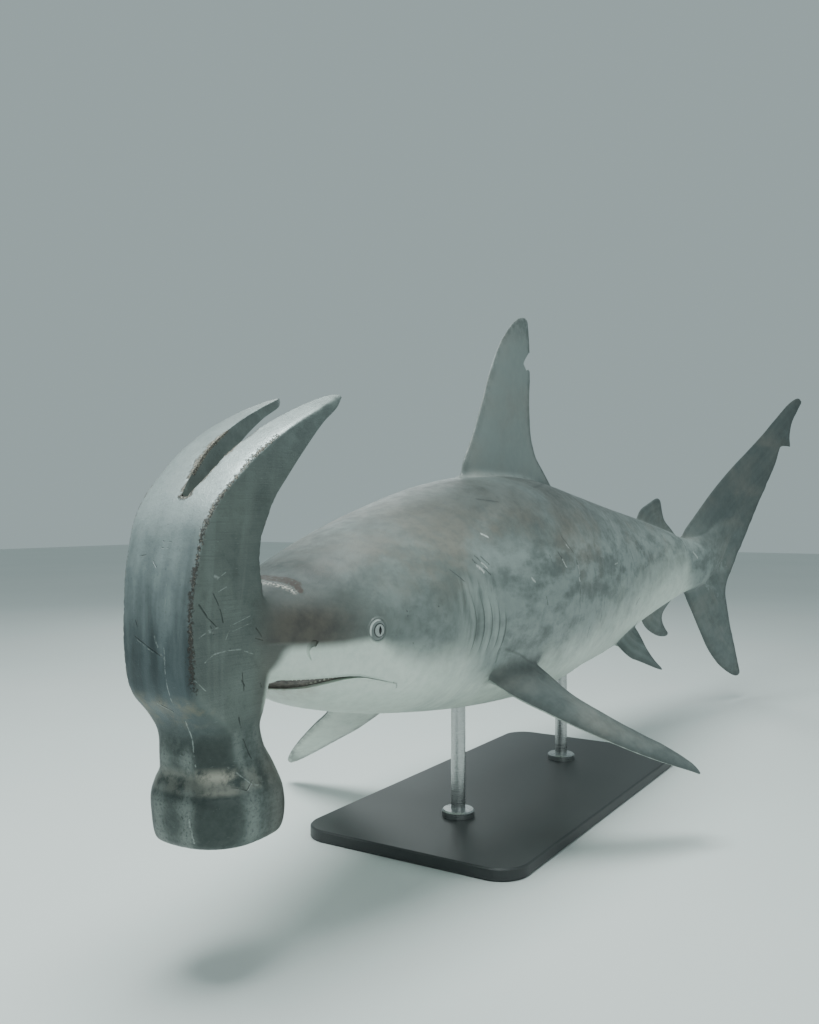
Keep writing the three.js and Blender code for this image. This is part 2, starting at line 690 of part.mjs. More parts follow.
// Head and lower jaw
const [, headFrom, headTo] = BODY_JOINTS[0];
const headBlock = between(plainBody, headFrom, headTo);
let head = headBlock;
[1, -1].forEach((side) => {
  head = head.add(lip(mouthEdge(MOUTH_CORNER, SNOUT_JOINT + 8, side, 0, 0)));
});
head = head.subtract(belowMouth(0));
[1, -1].forEach((side) => {
  head = head.add(lidRing(side)).subtract(eyeball(side, GAP)).subtract(nostril(side));
});
teeth(-1, UPPER_TOOTH_INSET, UPPER_TOOTH_HEIGHT).forEach((tooth) => { head = head.add(tooth); });
add('head', head, 'shark_skin');
const archLeft = mouthEdge(MOUTH_CORNER, JAW_FRONT, 1, 1, 0);
const archRight = mouthEdge(MOUTH_CORNER, JAW_FRONT, -1, 1, 0);
let jaw = headBlock.add(lip([...archLeft, ...archRight.reverse()])).intersect(belowMouth(1));
teeth(1, TOOTH_INSET, TOOTH_HEIGHT).forEach((tooth) => { jaw = jaw.add(tooth); });
add('lower_jaw', jaw, 'pale_skin');
add('eye_left', eyeball(1, 0), 'eyeball');
add('eye_right', eyeball(-1, 0), 'eyeball');

// The rest of the body
BODY_JOINTS.slice(1).forEach(([name, from, to]) => {
  let length = between(plainBody, from, to);
  if (name === 'gill_region') {
    GILL_TOPS.forEach((top, index) => {
      length = length.subtract(gillSlit(top, GILL_HEIGHTS[index], 1));
      length = length.subtract(gillSlit(top, GILL_HEIGHTS[index], -1));
    });
  }
  add(name, length, 'shark_skin');
});

// Fins, each cut to the body it grows from
const bite = prism(DORSAL_BITE, BITE_REACH);
add('dorsal_fin_first', fin(DORSAL_FIRST, LARGE_FIN_RINGS).subtract(grownBody).subtract(bite), 'fin_skin');
add('dorsal_fin_second', fin(DORSAL_SECOND, SMALL_FIN_RINGS).subtract(grownBody), 'fin_skin');
add('anal_fin', fin(ANAL, SMALL_FIN_RINGS).subtract(grownBody), 'fin_skin');
add('pectoral_fin_left', fin(PECTORAL_LEFT, LARGE_FIN_RINGS).subtract(grownBody), 'fin_skin');
add('pectoral_fin_right', fin(PECTORAL_RIGHT, LARGE_FIN_RINGS).subtract(grownBody), 'fin_skin');
const mirrored = PELVIC.map((row) => row.map((value, column) => (column % 3 === 1 ? -value : value)));
add('pelvic_fin_left', fin(PELVIC, SMALL_FIN_RINGS).subtract(grownBody), 'fin_skin');
add('pelvic_fin_right', fin(mirrored, SMALL_FIN_RINGS).subtract(grownBody), 'fin_skin');
const upperLobe = fin(CAUDAL_UPPER, CAUDAL_RINGS, CAUDAL_TIP).subtract(grownBody);
const lowerLobe = fin(CAUDAL_LOWER, CAUDAL_RINGS).subtract(grownBody);
add('caudal_fin_upper', beside(upperLobe, ...CAUDAL_SPLIT, apart), 'fin_skin');
add('caudal_fin_lower', beside(lowerLobe, ...CAUDAL_SPLIT.toReversed(), apart), 'fin_skin');

// The display stand
add('stand_base', standBase(), 'stand_paint');
Object.entries(ROD_PLACES).forEach(([name, s]) => {
  add(name, standRod(s, grownBody), 'stand_steel');
});

export default shark;
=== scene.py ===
# A shark three metres long whose snout is the forged head of a claw hammer, on a display stand.
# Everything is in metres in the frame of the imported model. Sizes below are in millimetres along the
# straight animal: s runs back from the front of the hammer, l to its left and z up from its axis.
import math

import bmesh
import bpy
import numpy as np
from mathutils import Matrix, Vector, noise
from mathutils.kdtree import KDTree


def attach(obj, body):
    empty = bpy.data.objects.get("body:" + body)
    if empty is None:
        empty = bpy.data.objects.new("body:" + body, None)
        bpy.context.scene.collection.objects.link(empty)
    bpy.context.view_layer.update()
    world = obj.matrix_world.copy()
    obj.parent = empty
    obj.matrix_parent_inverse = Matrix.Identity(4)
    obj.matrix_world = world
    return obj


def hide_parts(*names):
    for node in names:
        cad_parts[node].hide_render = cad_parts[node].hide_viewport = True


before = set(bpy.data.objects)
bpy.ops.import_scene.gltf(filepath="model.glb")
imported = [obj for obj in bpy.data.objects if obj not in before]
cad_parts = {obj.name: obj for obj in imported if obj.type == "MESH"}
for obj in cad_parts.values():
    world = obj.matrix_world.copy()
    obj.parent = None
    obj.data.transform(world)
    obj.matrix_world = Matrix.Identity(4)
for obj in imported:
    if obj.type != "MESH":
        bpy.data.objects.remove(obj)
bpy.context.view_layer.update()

# Camera: it stands two metres ahead of the animal's middle and one to its left, a little above its
# mouth, and looks level along the body, as the photograph does
CAMERA_AT = (-2.004, -0.964, 0.656)
CAMERA_AHEAD = (0.848, 0.530, 0)
camera_lens = bpy.data.cameras.new("camera")
camera_lens.lens = 33.4
camera = bpy.data.objects.new("camera", camera_lens)
camera.location = CAMERA_AT
camera.rotation_euler = Vector(CAMERA_AHEAD).to_track_quat("-Z", "Y").to_euler()
bpy.context.scene.collection.objects.link(camera)
bpy.context.scene.camera = camera


# Floor and light: a plain pale studio floor of matt paint in a pale room, under a wide soft light
# overhead and two weaker ones, in front and behind. They are faintly cool, like daylight.
def linear(colour):
    """The light that a colour written as #rrggbb gives back, for red, green and blue."""
    parts = [int(colour[first:first + 2], 16) / 255 for first in (1, 3, 5)]
    return [((part + 0.055) / 1.055) ** 2.4 if part > 0.04045 else part / 12.92 for part in parts] + [1]


class Finish:
    """A material whose pattern is laid down node by node over its Principled shader."""

    def __init__(self, name):
        self.material = bpy.data.materials.new(name)
        self.material.use_nodes = True
        self.tree = self.material.node_tree
        self.shader = self.tree.nodes["Principled BSDF"]

    def feed(self, socket, value):
        if isinstance(value, bpy.types.NodeSocket):
            self.tree.links.new(value, socket)
        elif isinstance(value, str):
            socket.default_value = linear(value)
        else:
            socket.default_value = value

    def node(self, kind, sockets=(), **settings):
        made = self.tree.nodes.new("ShaderNode" + kind)
        for name, value in settings.items():
            setattr(made, name, value)
        for name, value in dict(sockets).items():
            self.feed(made.inputs[name], value)
        return made

    def where(self):
        return self.node("TexCoord").outputs["Object"]

    def attribute(self, name, output="Fac"):
        return self.node("Attribute", attribute_name=name).outputs[output]

    def turned(self, vector, scale=(1, 1, 1), rotation=(0, 0, 0), location=(0, 0, 0)):
        sockets = {"Vector": vector, "Scale": scale, "Rotation": rotation, "Location": location}
        return self.node("Mapping", sockets).outputs["Vector"]

    def cloud(self, vector, scale, detail=4.0, roughness=0.55, distortion=0.0):
        sockets = {"Vector": vector, "Scale": scale, "Detail": detail}
        sockets.update({"Roughness": roughness, "Distortion": distortion})
        return self.node("TexNoise", sockets).outputs["Fac"]

    def split(self, vector):
        return list(self.node("SeparateXYZ", {"Vector": vector}).outputs)

    def plane(self, first, second):
        """A vector in a plane of its own, from two coordinates."""
        return self.node("CombineXYZ", {"X": first, "Y": second}).outputs["Vector"]

    def sum(self, operation, first, second=0.0, third=0.0):
        made = self.node("Math", operation=operation)
        for socket, value in zip(made.inputs, (first, second, third)):
            self.feed(socket, value)
        return made.outputs[0]

    def step(self, value, low, high, start=0.0, end=1.0):
        """A smooth step of the value, from start below low to end above high."""
        sockets = {"Value": value, "From Min": low, "From Max": high, "To Min": start, "To Max": end}
        return self.node("MapRange", sockets, interpolation_type="SMOOTHSTEP").outputs["Result"]

    def step_plain(self, value, low, high):
        """A straight climb of the value from 0 at low to 1 at high."""
        return self.node("MapRange", {"Value": value, "From Min": low, "From Max": high}).outputs["Result"]

    def mix(self, share, first, second, blend="MIX"):
        made = self.node("Mix", data_type="RGBA", blend_type=blend)
        self.feed(made.inputs[0], share)
        self.feed(made.inputs[6], first)
        self.feed(made.inputs[7], second)
        return made.outputs[2]

    def over(self, tone, colour, *shares):
        """The tone with a colour laid over it, as strongly as the product of the shares says."""
        return self.mix(self.product(*shares), tone, colour)

    def product(self, *shares):
        whole = shares[0]
        for share in shares[1:]:
            whole = self.sum("MULTIPLY", whole, share)
        return whole

    def bump(self, height, depth, normal=None):
        sockets = {"Height": height, "Distance": depth}
        if normal is not None:
            sockets["Normal"] = normal
        return self.node("Bump", sockets).outputs["Normal"]

    def shade(self, **sockets):
        for name, value in sockets.items():
            self.feed(self.shader.inputs[name.replace("_", " ").title().replace("Ior", "IOR")], value)
        return self.material


def new_piece(name, points, faces):
    """An object whose faces point outwards, linked to the scene."""
    mesh = bpy.data.meshes.new(name)
    mesh.from_pydata(np.asarray(points).tolist(), [], faces)
    shell = bmesh.new()
    shell.from_mesh(mesh)
    bmesh.ops.recalc_face_normals(shell, faces=shell.faces)
    shell.to_mesh(mesh)
    shell.free()
    piece = bpy.data.objects.new(name, mesh)
    bpy.context.scene.collection.objects.link(piece)
    return piece


FLOOR_REACH = 14
floor = new_piece(
    "studio_floor",
    [(x * FLOOR_REACH, y * FLOOR_REACH, 0) for x, y in ((-1, -1), (1, -1), (1, 1), (-1, 1))],
    [(0, 1, 2, 3)],
)
floor_finish = Finish("pale_floor")
floor_patch = floor_finish.cloud(floor_finish.where(), 0.7, 3)
floor.data.materials.append(floor_finish.shade(
    base_color=floor_finish.mix(floor_patch, "#d3d8d6", "#dde1df"),
    roughness=0.8,
))

room = bpy.data.worlds.new("pale_room")
room.use_nodes = True
room.node_tree.nodes["Background"].inputs["Color"].default_value = linear("#cee3e4")
room.node_tree.nodes["Background"].inputs["Strength"].default_value = 0.55
bpy.context.scene.world = room


COOL_WHITE = (0.91, 1.0, 0.985)


def softbox(name, place_at, aim_at, size, power):
    light = bpy.data.lights.new(name, "AREA")
    light.shape = "DISK"
    light.size = size
    light.energy = power
    light.color = COOL_WHITE
    lamp = bpy.data.objects.new(name, light)
    lamp.location = place_at
    aim = Vector(aim_at) - Vector(place_at)
    lamp.rotation_euler = aim.to_track_quat("-Z", "Y").to_euler()
    bpy.context.scene.collection.objects.link(lamp)


softbox("light_overhead", (-0.9, 0.2, 3.4), (-0.3, 0, 0.5), 2.0, 150)
softbox("light_front", (-3.2, -3.4, 1.6), (-0.4, 0, 0.5), 2.2, 17)
softbox("light_behind", (2.8, 2.6, 2.4), (0.2, 0, 0.6), 2.0, 26)

# Body and fins: one unbroken skin from behind the steel to the tips of the fins. It is a firm, finely
# rough hide, dark above and pale below. The fins grow out of it with rounded roots, and the mouth, the
# eye sockets, the nostrils and the bite in the dorsal fin are cut into it.
STRAIGHT_LENGTH = 1260
BEND_RADIUS = 4600
AXIS_HEIGHT = 470
STAND_AT = 1100
SNOUT_JOINT = 178
TAIL_END = 2560
# s, height of the back, height of the belly, half width, height where widest, upper and lower squareness
BODY_ROWS = [
    [90, 76, -60, 60, 6, 2.8, 2.8],
    [140, 76, -66, 76, 5, 2.6, 2.6],
    [185, 80, -74, 101, 2, 2.4, 2.4],
    [225, 90, -92, 120, -2, 2.2, 2.4],
    [270, 107, -118, 132, -4, 2.1, 2.3],
    [325, 128, -136, 146, -4, 2.1, 2.3],
    [430, 165, -160, 168, -2, 2.1, 2.3],
    [560, 202, -182, 190, 2, 2.1, 2.2],
    [720, 240, -203, 202, 8, 2.1, 2.2],
    [900, 264, -219, 203, 14, 2.1, 2.2],
    [1100, 264, -228, 192, 20, 2.1, 2.2],
    [1320, 238, -215, 170, 26, 2.1, 2.1],
    [1560, 205, -196, 138, 26, 2.1, 2.1],
    [1800, 170, -142, 102, 26, 2.1, 2.1],
    [2000, 134, -100, 74, 24, 2.2, 2.2],
    [2140, 104, -72, 56, 20, 2.3, 2.3],
    [2230, 106, -66, 47, 22, 2.3, 2.3],
    [2310, 124, -44, 32, 40, 2.1, 2.1],
    [2400, 172, 0, 18, 86, 2, 2],
    [2490, 240, 90, 8, 165, 2, 2],
    [2560, 285, 170, 3, 228, 2, 2],
]
BODY_SIDES = 160
# Spacing of the rings: where each stretch starts, and how far apart its rings are
RING_STRETCHES = [(SNOUT_JOINT, 3.6), (505, 2.5), (705, 9), (1600, 8), (TAIL_END, 8)]
LIP_ROWS = [[150, -62], [214, -62], [262, -63], [293, -66.5], [320, -73], [374, -88]]
MOUTH_GAPS = [[150, 24], [178, 21], [214, 18], [238, 11], [262, 6], [293, 2], [320, 1.2], [374, 0.6]]
MOUTH_CORNER = 374
JAW_FRONT = 200.5
MOUTH_BACK_OF_STEEL = 150
MOUTH_REACH = 240
LIP_RADII = [[200, 340, 374], [3.4, 3.0, 1.6]]
JAW_RADII = [[200, 340, 374], [3.6, 3.0, 1.6]]
FACE_FILLET = 0.007
FACE_ROUNDS = 6
# Nostril: a groove in the shape of a comma, as (s, z), and its radius along it
NOSTRIL = [[206, -8], [202, -6], [197, -8], [194, -13], [194, -19], [197, -25], [201, -31]]
NOSTRIL_STEPS = 24
NOSTRIL_RADII = [[0, 5, 23], [4.5, 5.5, 0.8]]
EYE = (315, 3.5)
EYE_RADIUS = 26
EYE_OPENING = 18
LID_THICKNESS = 2.2
LID_HEAVIER = 0.18
LID_STEPS = 64
LID_SIDES = 16
GILL_TOPS = [(541, 44), (566, 45), (591, 40), (616, 30), (638, 14)]
GILL_HEIGHTS = [112, 116, 116, 110, 100]
GILL_LEAN = 12
GILL_DEPTH = 9
GILL_SLOPE = 17
FLAP_HEIGHT = 2.2
FLAP_REACH = 5.5
FLAP_FADE = 6
# Swellings behind the eye and the mouth: height, s and how far it spreads, z and how far it spreads
SWELLINGS = [(2.5, 318, 32, 24, 12), (4, 425, 40, -70, 30)]
# Folds at the mouth's corner, over the pectoral's root and before the tail: depth, width and (s, z) route
FOLDS = [
    (2.6, 2.4, [(372, -87.5), (379, -89), (385, -93), (388, -99)]),
    (1.2, 3.2, [(392, -101), (402, -90), (410, -76)]),
    (1.0, 3.6, [(404, -112), (418, -98), (430, -80)]),
    (4.5, 4, [(648, -40), (652, -58), (650, -84)]),
    (3.5, 4.5, [(672, -66), (700, -74), (735, -84)]),
    (5, 7, [(2068, 130), (2072, 96), (2080, 60)]),
    (4, 6, [(2090, -90), (2094, -66), (2098, -40)]),
]
# Fins from root to tip: leading edge and trailing edge as (s, l, z), and the greatest thickness
DORSAL_FIRST = [
    [825, 0, 225, 1330, 0, 238, 40],
    [850, 0, 288, 1262, 0, 284, 30],
    [886, 0, 340, 1212, 0, 328, 26],
    [927, 0, 409, 1184, 0, 395, 22],
    [970, 0, 489, 1185, 0, 475, 17],
    [1012, 0, 552, 1186, 0, 545, 13],
    [1052, 0, 595, 1183, 0, 592, 9],
    [1094, 0, 628, 1178, 0, 622, 6],
    [1144, 0, 650, 1174, 0, 645, 4],
]
DORSAL_BITE = [(1215, 507), (1172, 527), (1160, 522), (1140, 536), (1151, 548), (1178, 568), (1215, 560)]
BITE_REACH = 40
DORSAL_SECOND = [
    [1825, 0, 130, 2150, 0, 84, 22],
    [1870, 0, 186, 2090, 0, 130, 15],
    [1926, 0, 210, 2044, 0, 157, 11],
    [1968, 0, 225, 2026, 0, 185, 7],
    [2000, 0, 231, 2018, 0, 222, 4],
]
ANAL = [
    [1850, 0, -88, 2160, 0, -50, 22],
    [1888, 0, -141, 2060, 0, -107, 14],
    [1928, 0, -172, 2024, 0, -132, 10],
    [1980, 0, -194, 2030, 0, -162, 7],
    [2030, 0, -203, 2054, 0, -184, 5],
    [2062, 0, -202, 2070, 0, -195, 3],
]
CAUDAL_UPPER = [
    [2094, 0, 44, 2440, 0, -130, 34],
    [2163, 0, 117, 2462, 0, -62, 26],
    [2254, 0, 180, 2500, 0, -8, 20],
    [2366, 0, 257, 2562, 0, 68, 17],
    [2487, 0, 333, 2640, 0, 166, 15],
    [2609, 0, 404, 2722, 0, 268, 13],
    [2718, 0, 472, 2800, 0, 368, 11],
    [2790, 0, 524, 2836, 0, 440, 9],
]
CAUDAL_TIP = [
    [2804, 0, 534, 2906, 0, 428, 9],
    [2830, 0, 552, 2892, 0, 470, 8],
    [2880, 0, 587, 2918, 0, 530, 6],
    [2930, 0, 611, 2955, 0, 574, 4.5],
    [2962, 0, 618, 2980, 0, 604, 3],
]
CAUDAL_LOWER = [
    [2104, 0, 10, 2490, 0, 10, 34],
    [2180, 0, -86, 2455, 0, -75, 24],
    [2228, 0, -143, 2464, 0, -120, 19],
    [2280, 0, -209, 2480, 0, -178, 15],
    [2340, 0, -279, 2503, 0, -240, 12],
    [2418, 0, -340, 2526, 0, -300, 9],
    [2494, 0, -377, 2546, 0, -350, 6],
    [2540, 0, -388, 2558, 0, -378, 3.5],
]
PECTORAL_LEFT = [
    [640, 128, -94, 838, 128, -80, 34],
    [668, 200, -146, 828, 210, -138, 26],
    [712, 250, -182, 840, 258, -174, 21],
    [772, 306, -223, 877, 306, -210, 17],
    [848, 366, -267, 927, 355, -249, 13],
    [920, 415, -302, 974, 402, -284, 9],
    [970, 446, -323, 1000, 438, -313, 5],
    [990, 459, -333, 1001, 455, -329, 3],
]
PECTORAL_RIGHT = [
    [636, -118, -96, 850, -118, -183, 34],
    [690, -200, -167, 872, -196, -240, 27],
    [731, -248, -211, 902, -252, -280, 22],
    [771, -297, -254, 911, -310, -319, 18],
    [789, -345, -289, 911, -365, -350, 15],
    [809, -392, -325, 908, -420, -382, 12],
    [834, -440, -362, 905, -462, -405, 8],
    [858, -475, -392, 901, -486, -417, 5],
    [880, -498, -414, 896, -500, -421, 3],
]
PELVIC_LEFT = [
    [1522, 60, -138, 1690, 50, -110, 20],
    [1562, 104, -197, 1668, 94, -150, 13],
    [1602, 124, -217, 1664, 116, -186, 9],
    [1648, 143, -236, 1672, 137, -220, 5],
    [1684, 156, -249, 1692, 154, -245, 3],
]
PELVIC_RIGHT = [[s, -l, z, s1, -l1, z1, thick] for s, l, z, s1, l1, z1, thick in PELVIC_LEFT]
FIN_STATIONS = 24
FIN_EDGE = 1.2
FOIL_PEAK = 0.385
RAGGED = 5
FRAY_SCALE = 40
ROOT_FILLET = 0.034
ROOT_ROUNDS = 26


def coat(piece, finish):
    """The piece takes the finish all over, shaded as one smooth surface."""
    piece.data.materials.clear()
    piece.data.materials.append(finish.material)
    piece.data.polygons.foreach_set("material_index", [0] * len(piece.data.polygons))
    piece.data.polygons.foreach_set("use_smooth", [True] * len(piece.data.polygons))


def through(rows, t):
    """Rows of values on a smooth curve through the given rows, for each t from 0 to 1."""
    rows = np.asarray(rows, float)
    reach = np.asarray(t, float) * (len(rows) - 1)
    index = np.clip(reach.astype(int), 0, len(rows) - 2)
    part = (reach - index)[:, None]
    before = rows[np.maximum(index - 1, 0)]
    start = rows[index]
    after = rows[np.minimum(index + 2, len(rows) - 1)]
    rise = rows[index + 1] - start
    leave = (rows[index + 1] - before) / np.where(index > 0, 2, 1)[:, None]
    arrive = (after - start) / np.where(index < len(rows) - 2, 2, 1)[:, None]
    bend = leave + arrive - 2 * rise
    return start + part * (leave + part * (3 * rise - 2 * leave - arrive + part * bend))


def rows_at(rows, first):
    """The rows at given first values, such as the body's sections at given places along the spine."""
    t = np.linspace(0, 1, 3001)
    return through(rows, np.interp(first, through(rows, t)[:, 0], t))


def place(s, l, z):
    """Points of the straight animal where the bent one has them, in metres."""
    turn = np.maximum(np.asarray(s, float) - STRAIGHT_LENGTH, 0) / BEND_RADIUS
    x = np.minimum(s, STRAIGHT_LENGTH) + (BEND_RADIUS - l) * np.sin(turn) - STAND_AT
    y = (BEND_RADIUS - l) * np.cos(turn) - BEND_RADIUS
    return np.stack(np.broadcast_arrays(x, y, z + AXIS_HEIGHT), axis=-1) / 1000


def along_spine(points):
    """The s, l and z of points in metres."""
    x, y, z = np.asarray(points).T * 1000
    ahead = x + STAND_AT - STRAIGHT_LENGTH
    turn = np.maximum(np.arctan2(ahead, y + BEND_RADIUS), 0)
    s = np.where(turn > 0, turn * BEND_RADIUS, ahead) + STRAIGHT_LENGTH
    l = np.where(turn > 0, BEND_RADIUS - np.hypot(ahead, y + BEND_RADIUS), -y)
    return s, l, z - AXIS_HEIGHT


def loft(name, rings):
    """A closed skin over rings of equally many points, with a fan of triangles over each end."""
    count, sides = rings.shape[:2]
    ring, side = np.meshgrid(np.arange(count - 1), np.arange(sides), indexing="ij")
    first = ring * sides + side
    second = ring * sides + (side + 1) % sides
    faces = np.stack([first, second, second + sides, first + sides], -1).reshape(-1, 4).tolist()
    points = np.vstack([rings.reshape(-1, 3), rings[0].mean(0), rings[-1].mean(0)])
    for middle, start in ((count * sides, 0), (count * sides + 1, (count - 1) * sides)):
        faces += [(middle, start + one, start + (one + 1) % sides) for one in range(sides)]
    return new_piece(name, points, faces)


def settle(piece):
    """The piece's modifiers become its mesh."""
    whole = bpy.context.evaluated_depsgraph_get()
    piece.data = bpy.data.meshes.new_from_object(piece.evaluated_get(whole))
    piece.modifiers.clear()
    return piece


def joined(piece, others, operation="UNION"):
    """The piece with the others added to it or taken from it. The others are used up."""
    for other in others:
        boolean = piece.modifiers.new(other.name, "BOOLEAN")
        boolean.operation = operation
        boolean.solver = "MANIFOLD"
        boolean.object = other
    settle(piece)
    for other in others:
        bpy.data.objects.remove(other)
    return piece


def corners(piece):
    found = np.zeros(len(piece.data.vertices) * 3)
    piece.data.vertices.foreach_get("co", found)
    return found.reshape(-1, 3)


def outward(piece):
    found = np.zeros(len(piece.data.vertices) * 3)
    piece.data.vertex_normals.foreach_get("vector", found)
    return found.reshape(-1, 3)


def reach_of(points, seeds, radius):
    """For each point 1 at a seed, falling smoothly to 0 at the radius."""
    if len(seeds) == 0:
        return np.zeros(len(points))
    tree = KDTree(len(seeds))
    for index, seed in enumerate(seeds):
        tree.insert(seed, index)
    tree.balance()
    near = np.array([tree.find(point)[2] for point in points])
    share = np.clip(1 - near / radius, 0, 1)
    return share * share * (3 - 2 * share)


def inner_corners(piece, sharper_than):
    """The points along a piece's inward creases, sharper than an angle in degrees."""
    shell = bmesh.new()
    shell.from_mesh(piece.data)
    bmesh.ops.triangulate(shell, faces=shell.faces)
    found = []
    for edge in shell.edges:
        if len(edge.link_faces) == 2 and edge.calc_face_angle_signed() < -math.radians(sharper_than):
            found += [vert.co[:] for vert in edge.verts]
    shell.free()
    return np.array(found).reshape(-1, 3)


def softened(piece, weights, rounds):
    """Smooths the piece where the weights say."""
    group = piece.vertex_groups.new(name="soft")
    for index in np.nonzero(weights > 0.01)[0]:
        group.add([int(index)], float(weights[index]), "REPLACE")
    smooth = piece.modifiers.new("smooth", "SMOOTH")
    smooth.factor = 0.5
    smooth.iterations = rounds
    smooth.vertex_group = group.name
    settle(piece)
    piece.vertex_groups.clear()
    return piece


def powered(value, fullness):
    return np.sign(value) * np.abs(value) ** (2 / fullness)


def body_sections(s, angles):
    """The l and z of the body's sections at each s, at the given angles round them."""
    row = rows_at(BODY_ROWS, s)[:, :, None]
    _, top, bottom, width, widest, upper, lower = (row[:, column] for column in range(7))
    up = np.sin(angles)[None, :]
    fullness = np.where(up > 0, upper, lower)
    height = np.where(up > 0, top - widest, widest - bottom)
    return width * powered(np.cos(angles)[None, :], fullness), widest + height * powered(up, fullness)


def half_width(s, z):
    """The half width of the body at each s and z."""
    _, top, bottom, width, widest, upper, lower = rows_at(BODY_ROWS, np.atleast_1d(s)).T
    reach = np.where(z > widest, (z - widest) / (top - widest), (widest - z) / (widest - bottom))
    fullness = np.where(z > widest, upper, lower)
    return width * np.maximum(1 - np.abs(reach) ** fullness, 0) ** (1 / fullness)


def bell(value, width):
    return np.exp(-0.5 * (value / width) ** 2)


def crease(s, z, route, width):
    """1 on a line through (s, z) points, fading to each side over the width and at its ends."""
    line = through(route, np.linspace(0, 1, 12))
    shortest = np.full(s.shape, 1e9)
    for (s0, z0), (s1, z1) in zip(line[:-1], line[1:]):
        length = (s1 - s0) ** 2 + (z1 - z0) ** 2
        share = np.clip(((s - s0) * (s1 - s0) + (z - z0) * (z1 - z0)) / length, 0, 1)
        away = np.hypot(s - s0 - share * (s1 - s0), z - z0 - share * (z1 - z0))
        shortest = np.minimum(shortest, away)
    return bell(shortest, width)


def gill_shape(u, z):
    """How far out the skin stands along the gill slits, and how far back each flap reaches."""
    out = np.zeros(u.shape)
    back = np.zeros(u.shape)
    for (top_s, top_z), height in zip(GILL_TOPS, GILL_HEIGHTS):
        down = np.clip((top_z - z) / height, 0, 1)
        open_by = np.sin(math.pi * down) ** 0.6
        behind = u - top_s
        slope = np.clip(behind / GILL_SLOPE, 0, 1)
        hollow = np.where(behind > 0, GILL_DEPTH * (1 - slope) ** 1.5, 0)
        flap = np.where(behind <= 0, np.exp(behind / FLAP_FADE), 0)
        out += open_by * (FLAP_HEIGHT * flap - hollow)
        back += open_by * FLAP_REACH * flap
    return out, back


def body_rings():
    """Rings round the body from the snout to the tail, with its gill slits, swellings and folds."""
    s = np.concatenate([
        np.arange(start, end, step)
        for (start, step), (end, _) in zip(RING_STRETCHES[:-1], RING_STRETCHES[1:])
    ] + [[TAIL_END]])
    angles = np.linspace(0, 2 * math.pi, BODY_SIDES, endpoint=False)
    l, z = body_sections(s, angles)
    u = np.broadcast_to(s[:, None], l.shape)
    leaning = GILL_LEAN * np.sin(math.pi * np.clip((45 - z) / 115, 0, 1))
    fade = np.clip((u - 470) / 60, 0, 1) * np.clip((720 - u) / 60, 0, 1)
    side = np.abs(powered(np.cos(angles), 2))[None, :]
    out, back = gill_shape(u, z)
    along = u + leaning * fade + back * side
    out = out * np.clip(side * 1.4, 0, 1)
    for height, at_s, spread_s, at_z, spread_z in SWELLINGS:
        out += height * bell(u - at_s, spread_s) * bell(z - at_z, spread_z)
    for depth, width, route in FOLDS:
        out -= depth * crease(u, z, route, width)
    return place(along, l + out * np.cos(angles)[None, :], z + out * np.sin(angles)[None, :])


def fin(name, rows, ring_count, tip_rows=(), tip_count=0):
    """A fin as a foil: blunt in front, thickest at a third of its depth, thin and ragged behind.

    With it come its points, and how far each lies from its front edge, rear edge, tip and root.
    """
    sections = through(rows, np.linspace(0, 1, ring_count))
    if tip_count:
        sections = np.vstack([sections, through(tip_rows, np.linspace(0, 1, tip_count))])
    leads = sections[:, 0:3]
    trails = sections[:, 3:6].copy()
    outer = np.linspace(0, 1, len(trails))
    frayed = np.array([noise.noise((FRAY_SCALE * share, 3.7, 9.1)) - 0.4 for share in outer])
    trails[:, 0] += RAGGED * np.minimum(frayed, 0) * np.clip((outer - 0.12) / 0.2, 0, 1)
    chords = trails - leads
    across = np.cross(chords, np.gradient(leads + trails, axis=0))
    across /= np.linalg.norm(across, axis=1)[:, None]
    station = (1 - np.cos(np.linspace(0, math.pi, FIN_STATIONS))) / 2
    foil = np.sqrt(station) * (1 - station) / FOIL_PEAK
    half = np.maximum(sections[:, 6:7] / 2 * foil[None, :], FIN_EDGE / 2)
    middle = leads[:, None] + chords[:, None] * station[None, :, None]
    upper = middle + across[:, None] * half[..., None]
    lower = middle - across[:, None] * half[..., None]
    rings = np.concatenate([upper, lower[:, ::-1]], axis=1)
    made = loft(name, place(rings[..., 0], rings[..., 1], rings[..., 2]))
    chord = np.linalg.norm(chords, axis=1)[:, None]
    middles = (leads + trails) / 2
    tip_away = np.linalg.norm(middles - middles[-1], axis=1)[:, None]
    root_away = np.linalg.norm(middles - middles[0], axis=1)[:, None]
    stations = np.concatenate([station, station[::-1]])[None, :]
    spots = np.broadcast_arrays(chord * stations, chord * (1 - stations), tip_away, root_away)
    spots = np.stack(spots, -1).reshape(-1, 4)
    return made, corners(made)[:len(spots)], spots


def prism(name, outline, reach):
    """A straight prism across the animal over a convex or nearly convex outline of (s, z) points."""
    outline = np.array(outline, float)
    rings = [place(outline[:, 0], side * reach, outline[:, 1]) for side in (-1, 1)]
    return loft(name, np.array(rings))


def tube(name, route, radii, sides=12):
    """A round tube along points in metres, with a radius in millimetres at each."""
    route = np.asarray(route)
    ahead = np.gradient(route, axis=0)
    ahead /= np.linalg.norm(ahead, axis=1)[:, None]
    aside = np.cross(ahead, (0, 0, 1))
    aside /= np.linalg.norm(aside, axis=1)[:, None]
    up = np.cross(aside, ahead)
    angles = np.linspace(0, 2 * math.pi, sides, endpoint=False)
    turned = aside[:, None] * np.cos(angles)[None, :, None] + up[:, None] * np.sin(angles)[None, :, None]
    return loft(name, route[:, None] + turned * (np.asarray(radii) / 1000)[:, None, None])


def mouth_edge(s, side, lowered, inset=0.0):
    """Points of the mouth's edge on one side of the head, on its skin or set in from it."""
    z = rows_at(LIP_ROWS, s)[:, 1] - lowered * rows_at(MOUTH_GAPS, s)[:, 1]
    return place(s, side * np.maximum(half_width(s, z) - inset, 0), z)


